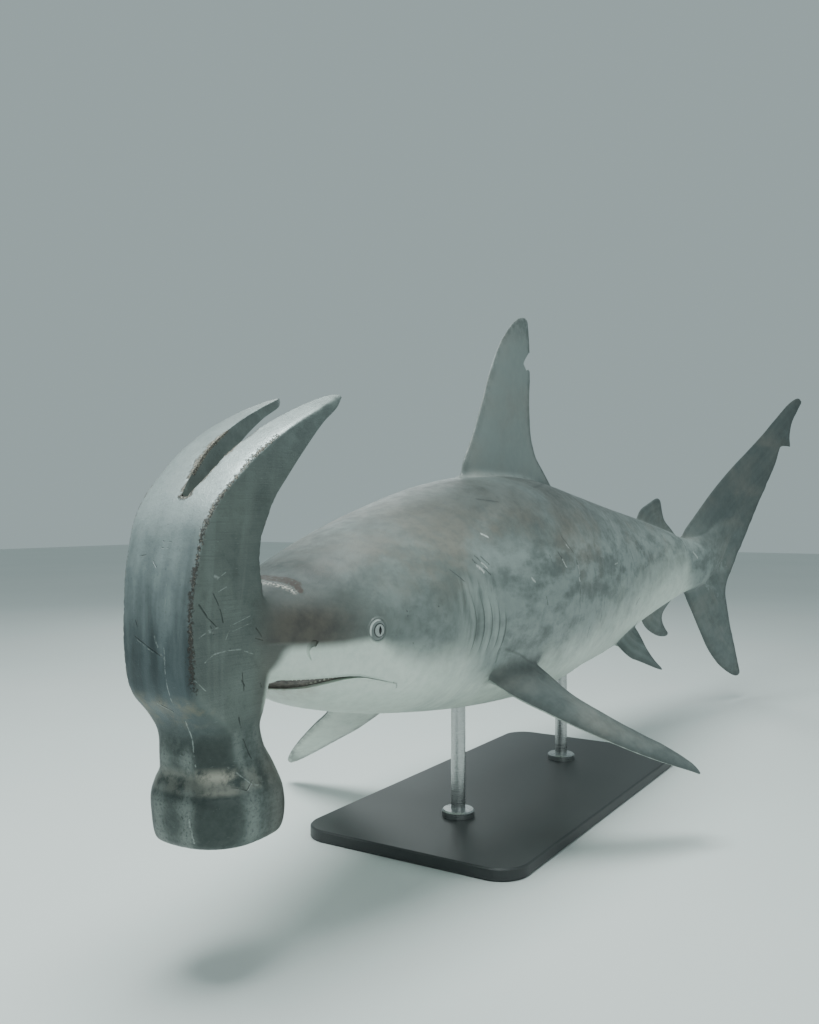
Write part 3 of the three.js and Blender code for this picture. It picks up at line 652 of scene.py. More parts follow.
def eye_frame(side):
    """The middle of an eye's opening, the way it looks, and the way back and up across it."""
    s, z = EYE
    near, far = (place(at, side * half_width(at, z), z)[0] for at in (s, s + 5))
    ahead = far - near
    out = np.cross((0, 0, 1), ahead) * -side
    out /= np.linalg.norm(out)
    back = np.array([out[1], -out[0], 0]) * -side
    return near, out, back, np.cross(out, back) * -side


def eye_rings(side, heights_and_radii, sides):
    """Rings round the eye's own axis, at heights along it from the skin and with radii, in millimetres."""
    middle, out, back, up = eye_frame(side)
    angles = np.linspace(0, 2 * math.pi, sides, endpoint=False)
    round_it = back[None, :] * np.cos(angles)[:, None] + up[None, :] * np.sin(angles)[:, None]
    return np.array([
        middle + out * height / 1000 + round_it * radius / 1000 for height, radius in heights_and_radii
    ])


def lid(name, side):
    """A raised rim round an eye, a little thicker above."""
    middle, out, back, up = eye_frame(side)
    around = np.linspace(0, 2 * math.pi, LID_STEPS, endpoint=False)
    tilt = np.linspace(0, 2 * math.pi, LID_SIDES, endpoint=False)
    points = []
    for turn in around:
        ray = back * math.cos(turn) + up * math.sin(turn)
        thick = LID_THICKNESS * (1 + LID_HEAVIER * math.sin(turn))
        for lean in tilt:
            away = EYE_OPENING + 1 + thick * math.cos(lean)
            points.append(middle + (ray * away + out * thick * math.sin(lean)) / 1000)
    faces = []
    for ring in range(LID_STEPS):
        for corner in range(LID_SIDES):
            one = ring * LID_SIDES + corner
            two = ring * LID_SIDES + (corner + 1) % LID_SIDES
            faces.append((one, two, (two + LID_SIDES) % len(points), (one + LID_SIDES) % len(points)))
    return new_piece(name, points, faces)


shark_body = loft("shark_body", body_rings())
fins = [
    fin("dorsal_first", DORSAL_FIRST, 58),
    fin("dorsal_second", DORSAL_SECOND, 22),
    fin("anal", ANAL, 22),
    fin("caudal_upper", CAUDAL_UPPER, 84, CAUDAL_TIP, 20),
    fin("caudal_lower", CAUDAL_LOWER, 52),
    fin("pectoral_left", PECTORAL_LEFT, 60),
    fin("pectoral_right", PECTORAL_RIGHT, 62),
    fin("pelvic_left", PELVIC_LEFT, 24),
    fin("pelvic_right", PELVIC_RIGHT, 24),
]
fin_points = np.vstack([points for _, points, _ in fins])
fin_spots = np.vstack([spots for _, _, spots in fins])
fin_kinds = np.concatenate([np.full(len(points), index) for index, (_, points, _) in enumerate(fins)])
joined(shark_body, [made for made, _, _ in fins])
skin_points = corners(shark_body)
root_seeds = inner_corners(shark_body, 14)
seed_s, seed_l, seed_z = along_spine(root_seeds)
root_seeds = root_seeds[(seed_s > 700) | ((seed_s > 600) & (seed_z < -78))]
softened(shark_body, reach_of(skin_points, root_seeds, ROOT_FILLET), ROOT_ROUNDS)

# Lips along both jaws and lids round the eyes, joined on before the openings are cut
lip_s = np.linspace(MOUTH_CORNER, SNOUT_JOINT + 8, 70)
lip_radii = np.interp(lip_s, *LIP_RADII)
jaw_s = np.linspace(MOUTH_CORNER, JAW_FRONT, 70)
jaw_arch = np.vstack([mouth_edge(jaw_s, 1, 1), mouth_edge(jaw_s, -1, 1)[::-1]])
jaw_radii = np.interp(jaw_s, *JAW_RADII)
soft_parts = [tube("lip_" + str(side), mouth_edge(lip_s, side, 0), lip_radii) for side in (1, -1)]
soft_parts += [tube("jaw_lip", jaw_arch, np.concatenate([jaw_radii, jaw_radii[::-1]]))]
soft_parts += [lid("lid_" + str(side), side) for side in (1, -1)]
joined(shark_body, soft_parts)
face_seeds = inner_corners(shark_body, 12)
seed_s, seed_l, seed_z = along_spine(face_seeds)
face_seeds = face_seeds[(seed_s < 420) & (np.abs(seed_l) > 1)]
softened(shark_body, reach_of(corners(shark_body), face_seeds, FACE_FILLET), FACE_ROUNDS)

# Openings: the mouth, a bite in the dorsal fin, and on each side an eye socket and a nostril
wedge_s = np.linspace(MOUTH_BACK_OF_STEEL, MOUTH_CORNER, 80)
wedge_top = rows_at(LIP_ROWS, wedge_s)[:, 1]
wedge_gap = rows_at(MOUTH_GAPS, wedge_s)[:, 1]
wedge = np.stack([
    place(wedge_s, MOUTH_REACH, wedge_top),
    place(wedge_s, MOUTH_REACH, wedge_top - wedge_gap),
    place(wedge_s, -MOUTH_REACH, wedge_top - wedge_gap),
    place(wedge_s, -MOUTH_REACH, wedge_top),
], axis=1)
cutters = [loft("mouth", wedge), prism("bite", DORSAL_BITE, BITE_REACH)]
for side in (1, -1):
    sink = math.sqrt(EYE_RADIUS ** 2 - EYE_OPENING ** 2)
    tilt = np.linspace(0.02, math.pi - 0.02, 40)
    ball = [(EYE_RADIUS * math.cos(t) - sink, EYE_RADIUS * math.sin(t)) for t in tilt]
    cutters.append(loft("socket_" + str(side), eye_rings(side, ball, 64)))
    groove_s, groove_z = through(NOSTRIL, np.linspace(0, 1, NOSTRIL_STEPS)).T
    groove = place(groove_s, side * (half_width(groove_s, groove_z) - 1), groove_z)
    groove_radii = np.interp(np.arange(NOSTRIL_STEPS), *NOSTRIL_RADII)
    cutters.append(tube("nostril_" + str(side), groove, groove_radii))
joined(shark_body, cutters, "DIFFERENCE")

skin_points = corners(shark_body)
skin_s, skin_l, skin_z = along_spine(skin_points)
skin_out = outward(shark_body)
# Where dark hide turns pale: s, the height of the change and how gradual it is
PALE_LINE = [
    [178, -10, 10],
    [250, -12, 9],
    [300, -10, 9],
    [330, -16, 12],
    [360, -32, 22],
    [420, -48, 38],
    [560, -72, 60],
    [700, -96, 66],
    [950, -112, 66],
    [1300, -84, 90],
    [1600, -30, 100],
    [1900, 16, 90],
    [2060, 20, 90],
    [2200, -120, 60],
    [2300, -300, 60],
    [3000, -900, 60],
]
# Which fins are pale underneath: the two pectorals and the two pelvics, after the five of the midline
FIRST_PAIRED_FIN = 5


def store(piece, name, values):
    kind = "FLOAT_VECTOR" if values.ndim == 2 else "FLOAT"
    made = piece.data.attributes.new(name, kind, "POINT")
    made.data.foreach_set("vector" if values.ndim == 2 else "value", values.astype(np.float32).ravel())


def nearest(points, found_among):
    """For each point, which of the others is nearest and how far away it is."""
    tree = KDTree(len(found_among))
    for index, spot in enumerate(found_among):
        tree.insert(spot, index)
    tree.balance()
    hits = [tree.find(point)[1:] for point in points]
    return np.array([hit[0] for hit in hits]), np.array([hit[1] for hit in hits])


def stroke_tree():
    """A node group that draws a stroke between two points of a plane.

    The plane's third coordinate holds the strongest mark so far, from 0 for none to 1.
    """
    tree = bpy.data.node_groups.new("stroke", "ShaderNodeTree")
    for name in ("Plane", "Start", "End"):
        tree.interface.new_socket(name, in_out="INPUT", socket_type="NodeSocketVector")
    tree.interface.new_socket("Width", in_out="INPUT", socket_type="NodeSocketFloat")
    tree.interface.new_socket("Plane", in_out="OUTPUT", socket_type="NodeSocketVector")

    def node(kind, operation=None, links=()):
        made = tree.nodes.new(kind)
        if operation:
            made.operation = operation
        for socket, source in links:
            tree.links.new(source, made.inputs[socket])
        return made

    given = node("NodeGroupInput").outputs
    spot = node("ShaderNodeSeparateXYZ", None, [(0, given["Plane"])]).outputs
    flat = node("ShaderNodeCombineXYZ", None, [("X", spot["X"]), ("Y", spot["Y"])]).outputs[0]
    reach = node("ShaderNodeVectorMath", "SUBTRACT", [(0, flat), (1, given["Start"])]).outputs[0]
    length = node("ShaderNodeVectorMath", "SUBTRACT", [(0, given["End"]), (1, given["Start"])]).outputs[0]
    along = node("ShaderNodeVectorMath", "DOT_PRODUCT", [(0, reach), (1, length)]).outputs["Value"]
    whole = node("ShaderNodeVectorMath", "DOT_PRODUCT", [(0, length), (1, length)]).outputs["Value"]
    share = node("ShaderNodeMath", "DIVIDE", [(0, along), (1, whole)])
    share.use_clamp = True
    nearest = node("ShaderNodeVectorMath", "SCALE", [(0, length), ("Scale", share.outputs[0])]).outputs[0]
    away = node("ShaderNodeVectorMath", "DISTANCE", [(0, reach), (1, nearest)]).outputs["Value"]
    mark = node("ShaderNodeMapRange", None, [("Value", away), ("From Min", given["Width"])])
    mark.inputs["From Max"].default_value = 0
    strongest = node("ShaderNodeMath", "MAXIMUM", [(0, spot["Z"]), (1, mark.outputs["Result"])]).outputs[0]
    marked = node("ShaderNodeCombineXYZ", None, [("X", spot["X"]), ("Y", spot["Y"]), ("Z", strongest)])
    node("NodeGroupOutput", None, [("Plane", marked.outputs[0])])
    return tree


STROKE_TREE = stroke_tree()
STROKE_SHARE = 0.58

def strokes(finish, plane, lines):
    """1 along straight strokes of a plane, each given by its ends and its width in millimetres."""
    for *ends, width in lines:
        start, end = ((first / 1000, second / 1000, 0) for first, second in zip(ends[::2], ends[1::2]))
        sockets = {"Plane": plane, "Start": start, "End": end, "Width": width * STROKE_SHARE / 1000}
        plane = finish.node("Group", sockets, node_tree=STROKE_TREE).outputs["Plane"]
    return finish.split(plane)[2]


def hide_tones(finish):
    """The hide's colour, dark above and pale below, how dark it is and the two clouds that mottle it.

    The rear of the steel takes the same colour where it passes into hide.
    """
    spine = finish.attribute("spine", "Vector")
    s_of, _, z_of = finish.split(spine)
    mottle = finish.cloud(finish.turned(spine, (1, 1.5, 1.5)), 5.5, 7, 0.62, 0.5)
    fine = finish.cloud(spine, 46, 6, 0.68)

    # Back and flanks: grey clouds, brown smudges, fine blotches and a paler flank
    tone = finish.mix(finish.step(mottle, 0.34, 0.68), "#6a7370", "#89928f")
    brown = finish.step(finish.cloud(spine, 3.1, 6, 0.66), 0.46, 0.6)
    tone = finish.over(tone, "#7d766b", brown, finish.step(z_of, -0.03, 0.12), 0.7)
    tone = finish.over(tone, "#5c6361", finish.step(fine, 0.42, 0.66), 0.45)
    dusk = finish.cloud(finish.turned(spine, (1, 2.5, 2.5)), 8, 5, 0.6)
    tone = finish.over(tone, "#545c5b", finish.step(dusk, 0.5, 0.68), 0.35)
    flank = finish.product(finish.step(s_of, 0.5, 0.7), finish.step(z_of, 0.16, 0.1))
    tone = finish.over(tone, "#a0aaa7", flank, finish.step(dusk, 0.6, 0.4), 0.6)

    # The ridge of the back is darkest, its own dark hide deepened by painted shade against the overhead
    # light.
    top_height = finish.sum("MULTIPLY_ADD", finish.step(s_of, 0.48, 0.22), 0.11, z_of)
    shaded_top_tone = finish.mix(finish.step(mottle, 0.35, 0.65), "#2b3130", "#484f4e")
    tone = finish.over(tone, shaded_top_tone, finish.step(top_height, 0.09, 0.24), 0.85)
    # The brownish snout above its pale underside is dark too
    snout_height = finish.sum("MULTIPLY_ADD", mottle, -0.05, z_of)
    snout_dark = finish.product(finish.step(s_of, 0.35, 0.2), finish.step(snout_height, 0.065, 0.0))
    snout_tone = finish.mix(finish.step(finish.cloud(spine, 34, 6, 0.65), 0.35, 0.7), "#5b564f", "#454340")
    tone = finish.over(tone, snout_tone, snout_dark)

    # The belly is nearly white, and the change to it wavers more behind the head
    belly_tone = finish.mix(finish.step(fine, 0.35, 0.7), "#e0e9df", "#d4ded4")
    edge_wave = finish.product(
        finish.sum("MULTIPLY_ADD", mottle, 1.1, -0.55),
        finish.sum("MULTIPLY_ADD", finish.step(s_of, 0.33, 0.5), 0.85, 0.15),
    )
    dark_share = finish.step(finish.sum("ADD", finish.attribute("darkness"), edge_wave), 0.0, 1.0)
    return finish.mix(dark_share, belly_tone, tone), dark_share, mottle, fine


def darkness_of(s, z):
    """How dark the hide is by nature at each s and z: 0 at the pale side of its change, 1 at the dark."""
    line_s, line_z, line_width = np.array(PALE_LINE, float).T
    height = z - np.interp(s, line_s, line_z)
    return np.clip(height / np.interp(s, line_s, line_width) * 0.5 + 0.5, -1, 2)


# A soft dark collar spreads from each fin's root over the body, and is darkest behind the gills
COLLAR_AT = (715, 75)
COLLAR_HEIGHT = (-62, 40)
COLLAR_FADE = (0.028, 0.024)
ROOT_FADE = (8, 30)
REAR_MARGIN = 13
TIP_MARGIN = 60
FRONT_MARGIN = 14

nearest_fin, fin_away = nearest(skin_points, fin_points)
from_front, from_rear, from_tip, from_root = fin_spots[nearest_fin].T
paired = fin_kinds[nearest_fin] >= FIRST_PAIRED_FIN
close = np.clip((COLLAR_FADE[0] - fin_away) / COLLAR_FADE[1], 0, 1)
on_fin = close * close * (3 - 2 * close) * np.clip((from_root - ROOT_FADE[0]) / ROOT_FADE[1], 0, 1)
below = paired * np.clip((-skin_out[:, 2] - 0.3) / 0.35, 0, 1)
margin = np.exp(-(from_rear / REAR_MARGIN) ** 2) + np.exp(-(from_tip / TIP_MARGIN) ** 2)
margin += 0.8 * np.exp(-(from_front / FRONT_MARGIN) ** 2)
darkness = darkness_of(skin_s, skin_z)
collar = bell(skin_s - COLLAR_AT[0], COLLAR_AT[1]) * bell(skin_z - COLLAR_HEIGHT[0], COLLAR_HEIGHT[1])
darkness += 0.9 * collar * np.clip(np.abs(skin_l) / 60 - 1, 0, 1)
darkness += on_fin * (1.5 - 1.9 * below - darkness)
store(shark_body, "spine", np.stack([skin_s, skin_l, skin_z], 1) / 1000)
store(shark_body, "darkness", darkness)
store(shark_body, "fin_share", on_fin)
store(shark_body, "fin_margin", np.clip(margin, 0, 1) * on_fin)
store(shark_body, "fin_chord", from_front / 1000)

skin = Finish("grey_hide")
spine = skin.attribute("spine", "Vector")
s_of, l_of, z_of = skin.split(spine)
on_left = skin.step(l_of, 0.01, 0.03)
sway = skin.sum("MULTIPLY_ADD", skin.cloud(spine, 60, 3), 0.012, -0.006)
side_plane = skin.plane(skin.sum("ADD", s_of, sway), z_of)
speckle = skin.cloud(spine, 240, 3, 0.7)
tone, dark_share, mottle, fine = hide_tones(skin)

# Pale streaks over the gills, and a blush round the front of the lower jaw
gill_pale = skin.product(
    skin.step(s_of, 0.47, 0.54), skin.step(s_of, 0.66, 0.6), skin.step(z_of, 0.1, 0.05),
    skin.step(skin.cloud(skin.turned(spine, (8, 1, 1.6)), 6, 4, 0.6), 0.38, 0.62), 0.45,
)
tone = skin.over(tone, "#b4beb9", gill_pale)
blush = skin.product(skin.step(s_of, 0.27, 0.2), skin.step(z_of, -0.05, -0.08))
tone = skin.over(tone, "#c3b5ab", blush, skin.step(fine, 0.35, 0.65), 0.5)

# Fins: streaked along their length, with darker edges and tips
fin_share = skin.attribute("fin_share")
fin_plane = skin.plane(skin.product(skin.attribute("fin_chord"), 55.0), skin.product(s_of, 2.0))
fin_streaks = skin.cloud(fin_plane, 1, 4)
fin_tone = skin.mix(skin.step(fin_streaks, 0.3, 0.7), "#5c6563", "#747d7b")
fin_tone = skin.over(fin_tone, "#373e3e", skin.step(z_of, -0.06, -0.12), skin.step(s_of, 1.3, 1.1), 0.85)
fin_tone = skin.over(fin_tone, "#454f50", skin.step(s_of, 2.1, 2.4), 0.6)
fin_tone = skin.over(fin_tone, "#99a3a1", skin.step(z_of, 0.2, 0.3), skin.step(s_of, 1.5, 1.3), 0.9)
fin_tone = skin.over(fin_tone, "#8a8378", skin.step(mottle, 0.4, 0.7), 0.4)
tone = skin.over(tone, fin_tone, fin_share, dark_share, 0.75)
tone = skin.over(tone, "#474e4d", skin.attribute("fin_margin"), skin.step(fine, 0.2, 0.6), 0.7)

# Gill slits and creases, darkened with painted shade, and the scars and pores of the left side
gill_lean = skin.sum("SINE", skin.product(skin.step_plain(z_of, 0.045, -0.07), math.pi))
gill_lean = skin.product(gill_lean, GILL_LEAN / 1000)
flaps = 0.0
slits = 0.0
for (top_s, top_z), height in zip(GILL_TOPS, GILL_HEIGHTS):
    behind = skin.sum("SUBTRACT", skin.sum("SUBTRACT", s_of, gill_lean), (top_s + 3) / 1000)
    tall = skin.product(
        skin.step(z_of, top_z / 1000, (top_z - 18) / 1000),
        skin.step(z_of, (top_z - height) / 1000, (top_z - height + 22) / 1000),
    )
    slit = skin.product(skin.step(skin.sum("ABSOLUTE", behind), 0.0034, 0.001), tall)
    flap = skin.product(skin.step(skin.sum("ABSOLUTE", skin.sum("ADD", behind, 0.008)), 0.008, 0.001), tall)
    slits = skin.sum("MAXIMUM", slits, slit)
    flaps = skin.sum("MAXIMUM", flaps, flap)
side_skin = skin.step(skin.sum("ABSOLUTE", l_of), 0.08, 0.1)
# Pale bands on the gill flaps, and dark lines of painted shade in the slits behind them
tone = skin.over(tone, "#b3bdb7", flaps, side_skin, 0.22)
tone = skin.over(tone, "#3a4140", slits, side_skin, 0.62)
dark_marks = strokes(skin, side_plane, [
    (577, 102, 592, 80, 5), (586, 108, 606, 88, 4), (604, 106, 618, 92, 4), (600, 86, 616, 74, 4),
    (950, 136, 990, 100, 5), (905, 104, 935, 76, 5), (1000, 82, 1014, 50, 4), (1008, 30, 1010, -6, 4),
    (1200, 0, 1206, -40, 4), (1190, -46, 1196, -70, 3), (1570, 120, 1610, 84, 4), (1010, 6, 1012, -30, 3),
    (1560, -60, 1585, -44, 5), (505, 88, 534, 66, 2.6), (860, 100, 866, 84, 3), (1080, 90, 1090, 70, 3),
    (1330, 96, 1340, 62, 3), (1420, 30, 1428, 4, 3), (1105, -70, 1110, -96, 3), (1480, 90, 1500, 60, 3),
    (820, 20, 826, 4, 3), (1120, 60, 1124, 30, 3), (718, 211, 772, 206, 4), (995, 240, 1150, 254, 6),
    (2068, 124, 2080, 64, 5), (2094, -44, 2090, -88, 4), (382, 28, 382.5, 27, 3.4), (381, 20, 381.5, 20, 2.4),
    (457, 30, 458, 29.5, 2.8), (391, -24, 392, -25, 2.2),
])
dark_marks = skin.product(dark_marks, on_left, skin.step(speckle, 0.25, 0.5), 0.85)
tone = skin.over(tone, "#2c302f", dark_marks)
pale_marks = strokes(skin, side_plane, [
    (582, 91, 596, 80, 7), (598, 96, 610, 86, 4), (922, 88, 936, 72, 5), (1004, 72, 1012, 54, 4),
    (1006, 46, 1010, 38, 4), (2300, 212, 2330, 200, 6), (1300, 60, 1330, 62, 3), (760, 60, 772, 52, 5),
    (960, 118, 972, 110, 3), (2130, 60, 2160, 40, 8), (640, 146, 652, 140, 5),
])
tone = skin.over(tone, "#e3e7e2", pale_marks, on_left, skin.step(speckle, 0.3, 0.5), 0.8)
# Painted shade along the folds at the mouth's corner and over the pectoral's root
folds = strokes(skin, side_plane, [
    (372, -87, 381, -90, 3), (381, -90, 388, -98, 3.4), (648, -40, 652, -62, 6), (652, -62, 650, -88, 7),
    (672, -66, 735, -84, 7), (735, -84, 800, -110, 6),
])
folds = skin.product(folds, on_left, 0.6)
tone = skin.over(tone, "#4a504e", folds)

# A torn seam over the snout where the steel comes out of it, dark behind and flecked with white in front
top_plane = skin.plane(skin.sum("ADD", s_of, sway), l_of)
torn = strokes(skin, top_plane, [
    (212, 0, 210, 20, 22), (210, 20, 216, 40, 24), (216, 40, 218, 60, 22), (218, 60, 210, 74, 14),
])
torn = skin.product(skin.step(torn, 0.1, 0.5), skin.step(z_of, 0.05, 0.06), skin.step(speckle, 0.3, 0.5))
tone = skin.over(tone, "#3d2c22", torn, 0.9)
flecks = strokes(skin, top_plane, [(192, 4, 189, 30, 18), (189, 30, 199, 56, 20), (199, 56, 200, 70, 14)])
flecks = skin.product(flecks, skin.step(z_of, 0.05, 0.06), skin.step(speckle, 0.48, 0.56))
tone = skin.over(tone, "#dcd6ca", flecks, 0.85)

# The hide's fine scales stand out as a rough grain
skin_height = skin.sum("MULTIPLY_ADD", fine, 0.8, skin.product(skin.cloud(spine, 420, 3, 0.6), 0.5))
skin_bump = skin.bump(skin_height, 0.0009)
skin.shade(
    base_color=tone,
    roughness=skin.step(fine, 0.3, 0.7, 0.42, 0.56),
    normal=skin_bump,
)
coat(shark_body, skin)
shark_body.data.set_sharp_from_angle(angle=math.radians(42))
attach(shark_body, "root")
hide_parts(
    "head", "lower_jaw", "gill_region", "trunk_front", "trunk_rear", "tail_front", "tail_stock",
    "dorsal_fin_first", "dorsal_fin_second", "anal_fin", "pectoral_fin_left", "pectoral_fin_right",
    "pelvic_fin_left", "pelvic_fin_right", "caudal_fin_upper", "caudal_fin_lower",
)

# Hammer head: one piece of drop-forged steel, ground on its cheeks and worn by years of blows, with an
# eight-sided striking face below and two claws above that a nail slot parts. Its rear flows into a
# socket that the snout's skin meets.
# Rows from the striking face up to the claws' tips: front s and z, rear s and z, half width, crown of
# the front, squareness, cut of the corners, half the slot's width and how far left its middle lies
HAMMER_ROWS = [
    [58, -278, 168, -278, 57, 0, 7, 0.66, 0, 0],
    [36, -274, 194, -274, 80, 0, 10, 0.67, 0, 0],
    [28, -262, 206, -262, 88.5, 0, 15, 0.69, 0, 0],
    [25, -238, 209, -238, 91.5, 0, 16, 0.69, 0, 0],
    [23, -214, 206, -214, 91, 0, 16, 0.69, 0, 0],
    [27, -198, 200, -198, 86.5, 0, 16, 0.69, 0, 0],
    [34, -178, 191, -178, 78, 0, 16, 0.69, 0, 0],
    [31, -152, 176, -152, 73, 0, 18, 0.7, 0, 0],
    [31, -120, 161, -120, 72, 0, 18, 0.68, 0, 0],
    [21, -94, 161, -98, 69, 4, 17, 0.6, 0, 0],
    [-1, -66, 162, -74, 67, 7, 18, 0.54, 0, 0],
    [-10, -35, 162, -42, 66.5, 8, 18, 0.48, 0, 0],
    [-13, 10, 158, 4, 66.5, 8, 20, 0.45, 0, 0],
    [-13, 55, 150, 48, 66, 8, 20, 0.45, 0, 0],
    [-9, 96, 139, 82, 68, 8, 20, 0.45, 0, 0],
    [0, 139, 131, 112, 70, 8, 20, 0.45, 0, 0],
    [10, 173, 131, 144, 72, 8, 20, 0.45, 0, 0],
    [33, 208, 138, 172, 76, 7, 20, 0.45, 6, 16],
    [67, 241, 153, 206, 80, 6, 19, 0.46, 16, 13],
    [112, 279, 180, 241, 84, 6, 18, 0.47, 24, 9],
    [173, 317, 214, 281, 88, 6, 16, 0.48, 32, 9],
    [238, 348, 257, 320, 87, 5, 12, 0.5, 39, 9],
    [290, 368, 300, 344, 80, 2, 8, 0.52, 47, 8],
    [319, 377, 325, 361, 71, 0, 5, 0.56, 60, 4],
]
HAMMER_RINGS = 250
HAMMER_SIDES = 184
CORNER_CROWDING = 3.2
SLOT_TURN = 0.55
SLOT_FLARE = 0.8
SLOT_PAST = 40
SLOT_RINGS = 110
SLOT_WALL = 16
SOCKET_START = 95
SOCKET_SPACING = 3
FLOW_CHANGES_AT = 62
FLOW_ABOVE = 0.02
FLOW_BELOW = 0.042
FLOW_ROUNDS = 110
FORGED_WAVE = 0.55
WORN_DEPTH = 1.3


def hammer_angles():
    """Angles round a section, closest together towards its four corners."""
    even = np.linspace(0, 2 * math.pi, 4001)
    corner = np.abs((even + math.pi / 4) % (math.pi / 2) - math.pi / 4) * 180 / math.pi
    crowding = 1 + CORNER_CROWDING * np.clip((corner - 14) / 14, 0, 1)
    along = np.concatenate([[0], np.cumsum((crowding[1:] + crowding[:-1]) / 2)])
    return np.interp(np.arange(HAMMER_SIDES) / HAMMER_SIDES * along[-1], along, even)


def hammer_rings():
    rows = through(HAMMER_ROWS, np.linspace(0, 1, HAMMER_RINGS))[:, :, None]
    front_s, front_z, rear_s, rear_z, width, crown, square, cut = (rows[:, one] for one in range(8))
    angles = hammer_angles()[None, :]
    x, y = np.cos(angles), np.sin(angles)
    wide, deep = np.abs(x), np.abs(y)
    corner = (wide + deep) * np.maximum(cut, 0)
    reach = (wide ** square + deep ** square + corner ** square) ** (-1 / square)
    depth = (1 + y * reach) / 2
    aside = x * reach
    length = np.hypot(rear_s - front_s, rear_z - front_z)
    pushed = depth + crown * aside * aside * (1 - depth) / length
    s = front_s + (rear_s - front_s) * pushed
    return place(s, width * aside, front_z + (rear_z - front_z) * pushed)


def slot_rings():
    slot_rows = [row for row in HAMMER_ROWS if row[8] > 0]
    rows = through(slot_rows, np.linspace(0, 1, SLOT_RINGS))
    rows = np.vstack([rows, 2 * rows[-1] - rows[-2] + (rows[-1] - rows[-10])])
    rings = []
    for row in rows:
        front, rear, width, half, middle = row[0:2], row[2:4], row[4], row[8], row[9]
        ahead = (rear - front) / np.linalg.norm(rear - front) * SLOT_PAST
        spots = [front + (rear - front) * share for share in np.linspace(0, 1, SLOT_WALL)]
        spots = [front - ahead] + spots + [rear + ahead]
        flares = np.clip((np.linspace(0, 1, SLOT_WALL) - SLOT_TURN) / (1 - SLOT_TURN), 0, 1) * SLOT_FLARE
        flares = [0, *flares, SLOT_FLARE]
        ring = []
        for side, order in ((1, 1), (-1, -1)):
            edge = middle + side * half
            wall = [
                place(spot[0], edge + flare * (side * width - edge), spot[1])
                for spot, flare in zip(spots, flares)
            ]
            ring += wall[::order]
        rings.append(ring)
    return np.array(rings)


def neighbours(piece):
    """The pairs of points that the piece's edges join."""
    pairs = np.zeros(len(piece.data.edges) * 2, dtype=int)
    piece.data.edges.foreach_get("vertices", pairs)
    return pairs.reshape(-1, 2)


def averaged(values, pairs):
    """Each point's mean over the points that its edges lead to."""
    total = np.zeros(values.shape)
    count = np.zeros(len(values))
    for one, other in ((0, 1), (1, 0)):
        np.add.at(total, pairs[:, one], values[pairs[:, other]])
        np.add.at(count, pairs[:, one], 1)
    count = np.maximum(count, 1)
    return total / (count[:, None] if values.ndim == 2 else count)


def sharpness(piece, rounds):
    """How strongly the piece bends outwards at each point, averaged over some rounds of neighbours."""
    pairs = neighbours(piece)
    normals = outward(piece)
    spread = normals
    for _ in range(rounds):
        spread = 0.5 * spread + 0.5 * averaged(spread, pairs)
    ahead = corners(piece)
    lag = ahead
    for _ in range(rounds):
        lag = 0.5 * lag + 0.5 * averaged(lag, pairs)
    return np.sum((ahead - lag) * normals, axis=1) * 1000


hammer_head = loft("hammer_head", hammer_rings())
joined(hammer_head, [loft("nail_slot", slot_rings())], "DIFFERENCE")
socket_s = np.append(np.arange(SOCKET_START, SNOUT_JOINT, SOCKET_SPACING), SNOUT_JOINT)
socket_angles = np.linspace(0, 2 * math.pi, BODY_SIDES, endpoint=False)
socket_l, socket_z = body_sections(socket_s, socket_angles)
joined(hammer_head, [loft("socket", place(socket_s[:, None], socket_l, socket_z))])
junction_seeds = inner_corners(hammer_head, 9)
seed_s, seed_l, seed_z = along_spine(junction_seeds)
junction_seeds = junction_seeds[(seed_s > 90) & (seed_s < 171) & (seed_z < 130) & (seed_z > -110)]
steel_points = corners(hammer_head)
steel_s, steel_l, steel_z = along_spine(steel_points)
flowing = np.where(steel_z > FLOW_CHANGES_AT, FLOW_ABOVE, FLOW_BELOW)
flow_weight = np.zeros(len(steel_points))
for radius in (FLOW_ABOVE, FLOW_BELOW):
    chosen = flowing == radius
    flow_weight[chosen] = reach_of(steel_points[chosen], junction_seeds, radius)
flow_weight *= np.clip((177 - steel_s) / 34, 0, 1)
softened(hammer_head, flow_weight, FLOW_ROUNDS)

# Where the steel is worn: its sharp edges, with nicks along them, and its front face
steel_edge = sharpness(hammer_head, 7)
steel_points = corners(hammer_head)
steel_s, steel_l, steel_z = along_spine(steel_points)
steel_out = outward(hammer_head)
nicks = np.array([noise.fractal(Vector(point) * 150, 0.8, 2.0, 3) for point in steel_points])
forged = np.array([noise.fractal(Vector(point) * 17, 1.0, 2.0, 2) for point in steel_points])
near_joint = np.clip((172 - steel_s) / 30, 0, 1)
on_edge = np.clip((steel_edge - 0.12) / 0.3, 0, 1) * near_joint
sunk = FORGED_WAVE * forged * near_joint - WORN_DEPTH * on_edge * np.clip(nicks + 0.15, 0, 1)
moved = steel_points + steel_out * (sunk / 1000)[:, None]
hammer_head.data.vertices.foreach_set("co", moved.ravel())
hammer_head.data.update()
store(hammer_head, "edge", steel_edge * np.clip((165 - steel_s) / 12, 0, 1))
store(hammer_head, "spine", np.stack([steel_s, steel_l, steel_z], 1) / 1000)
store(hammer_head, "darkness", darkness_of(steel_s, steel_z))
# Which points face the flats between front and left cheek, and the front, for painted shade and highlight
store(hammer_head, "corner", np.clip((-steel_out[:, 0] - steel_out[:, 1]) * 5 - 6.3, 0, 1))
store(hammer_head, "front", np.clip(-steel_out[:, 0] * 1.6 - 0.35, 0, 1))

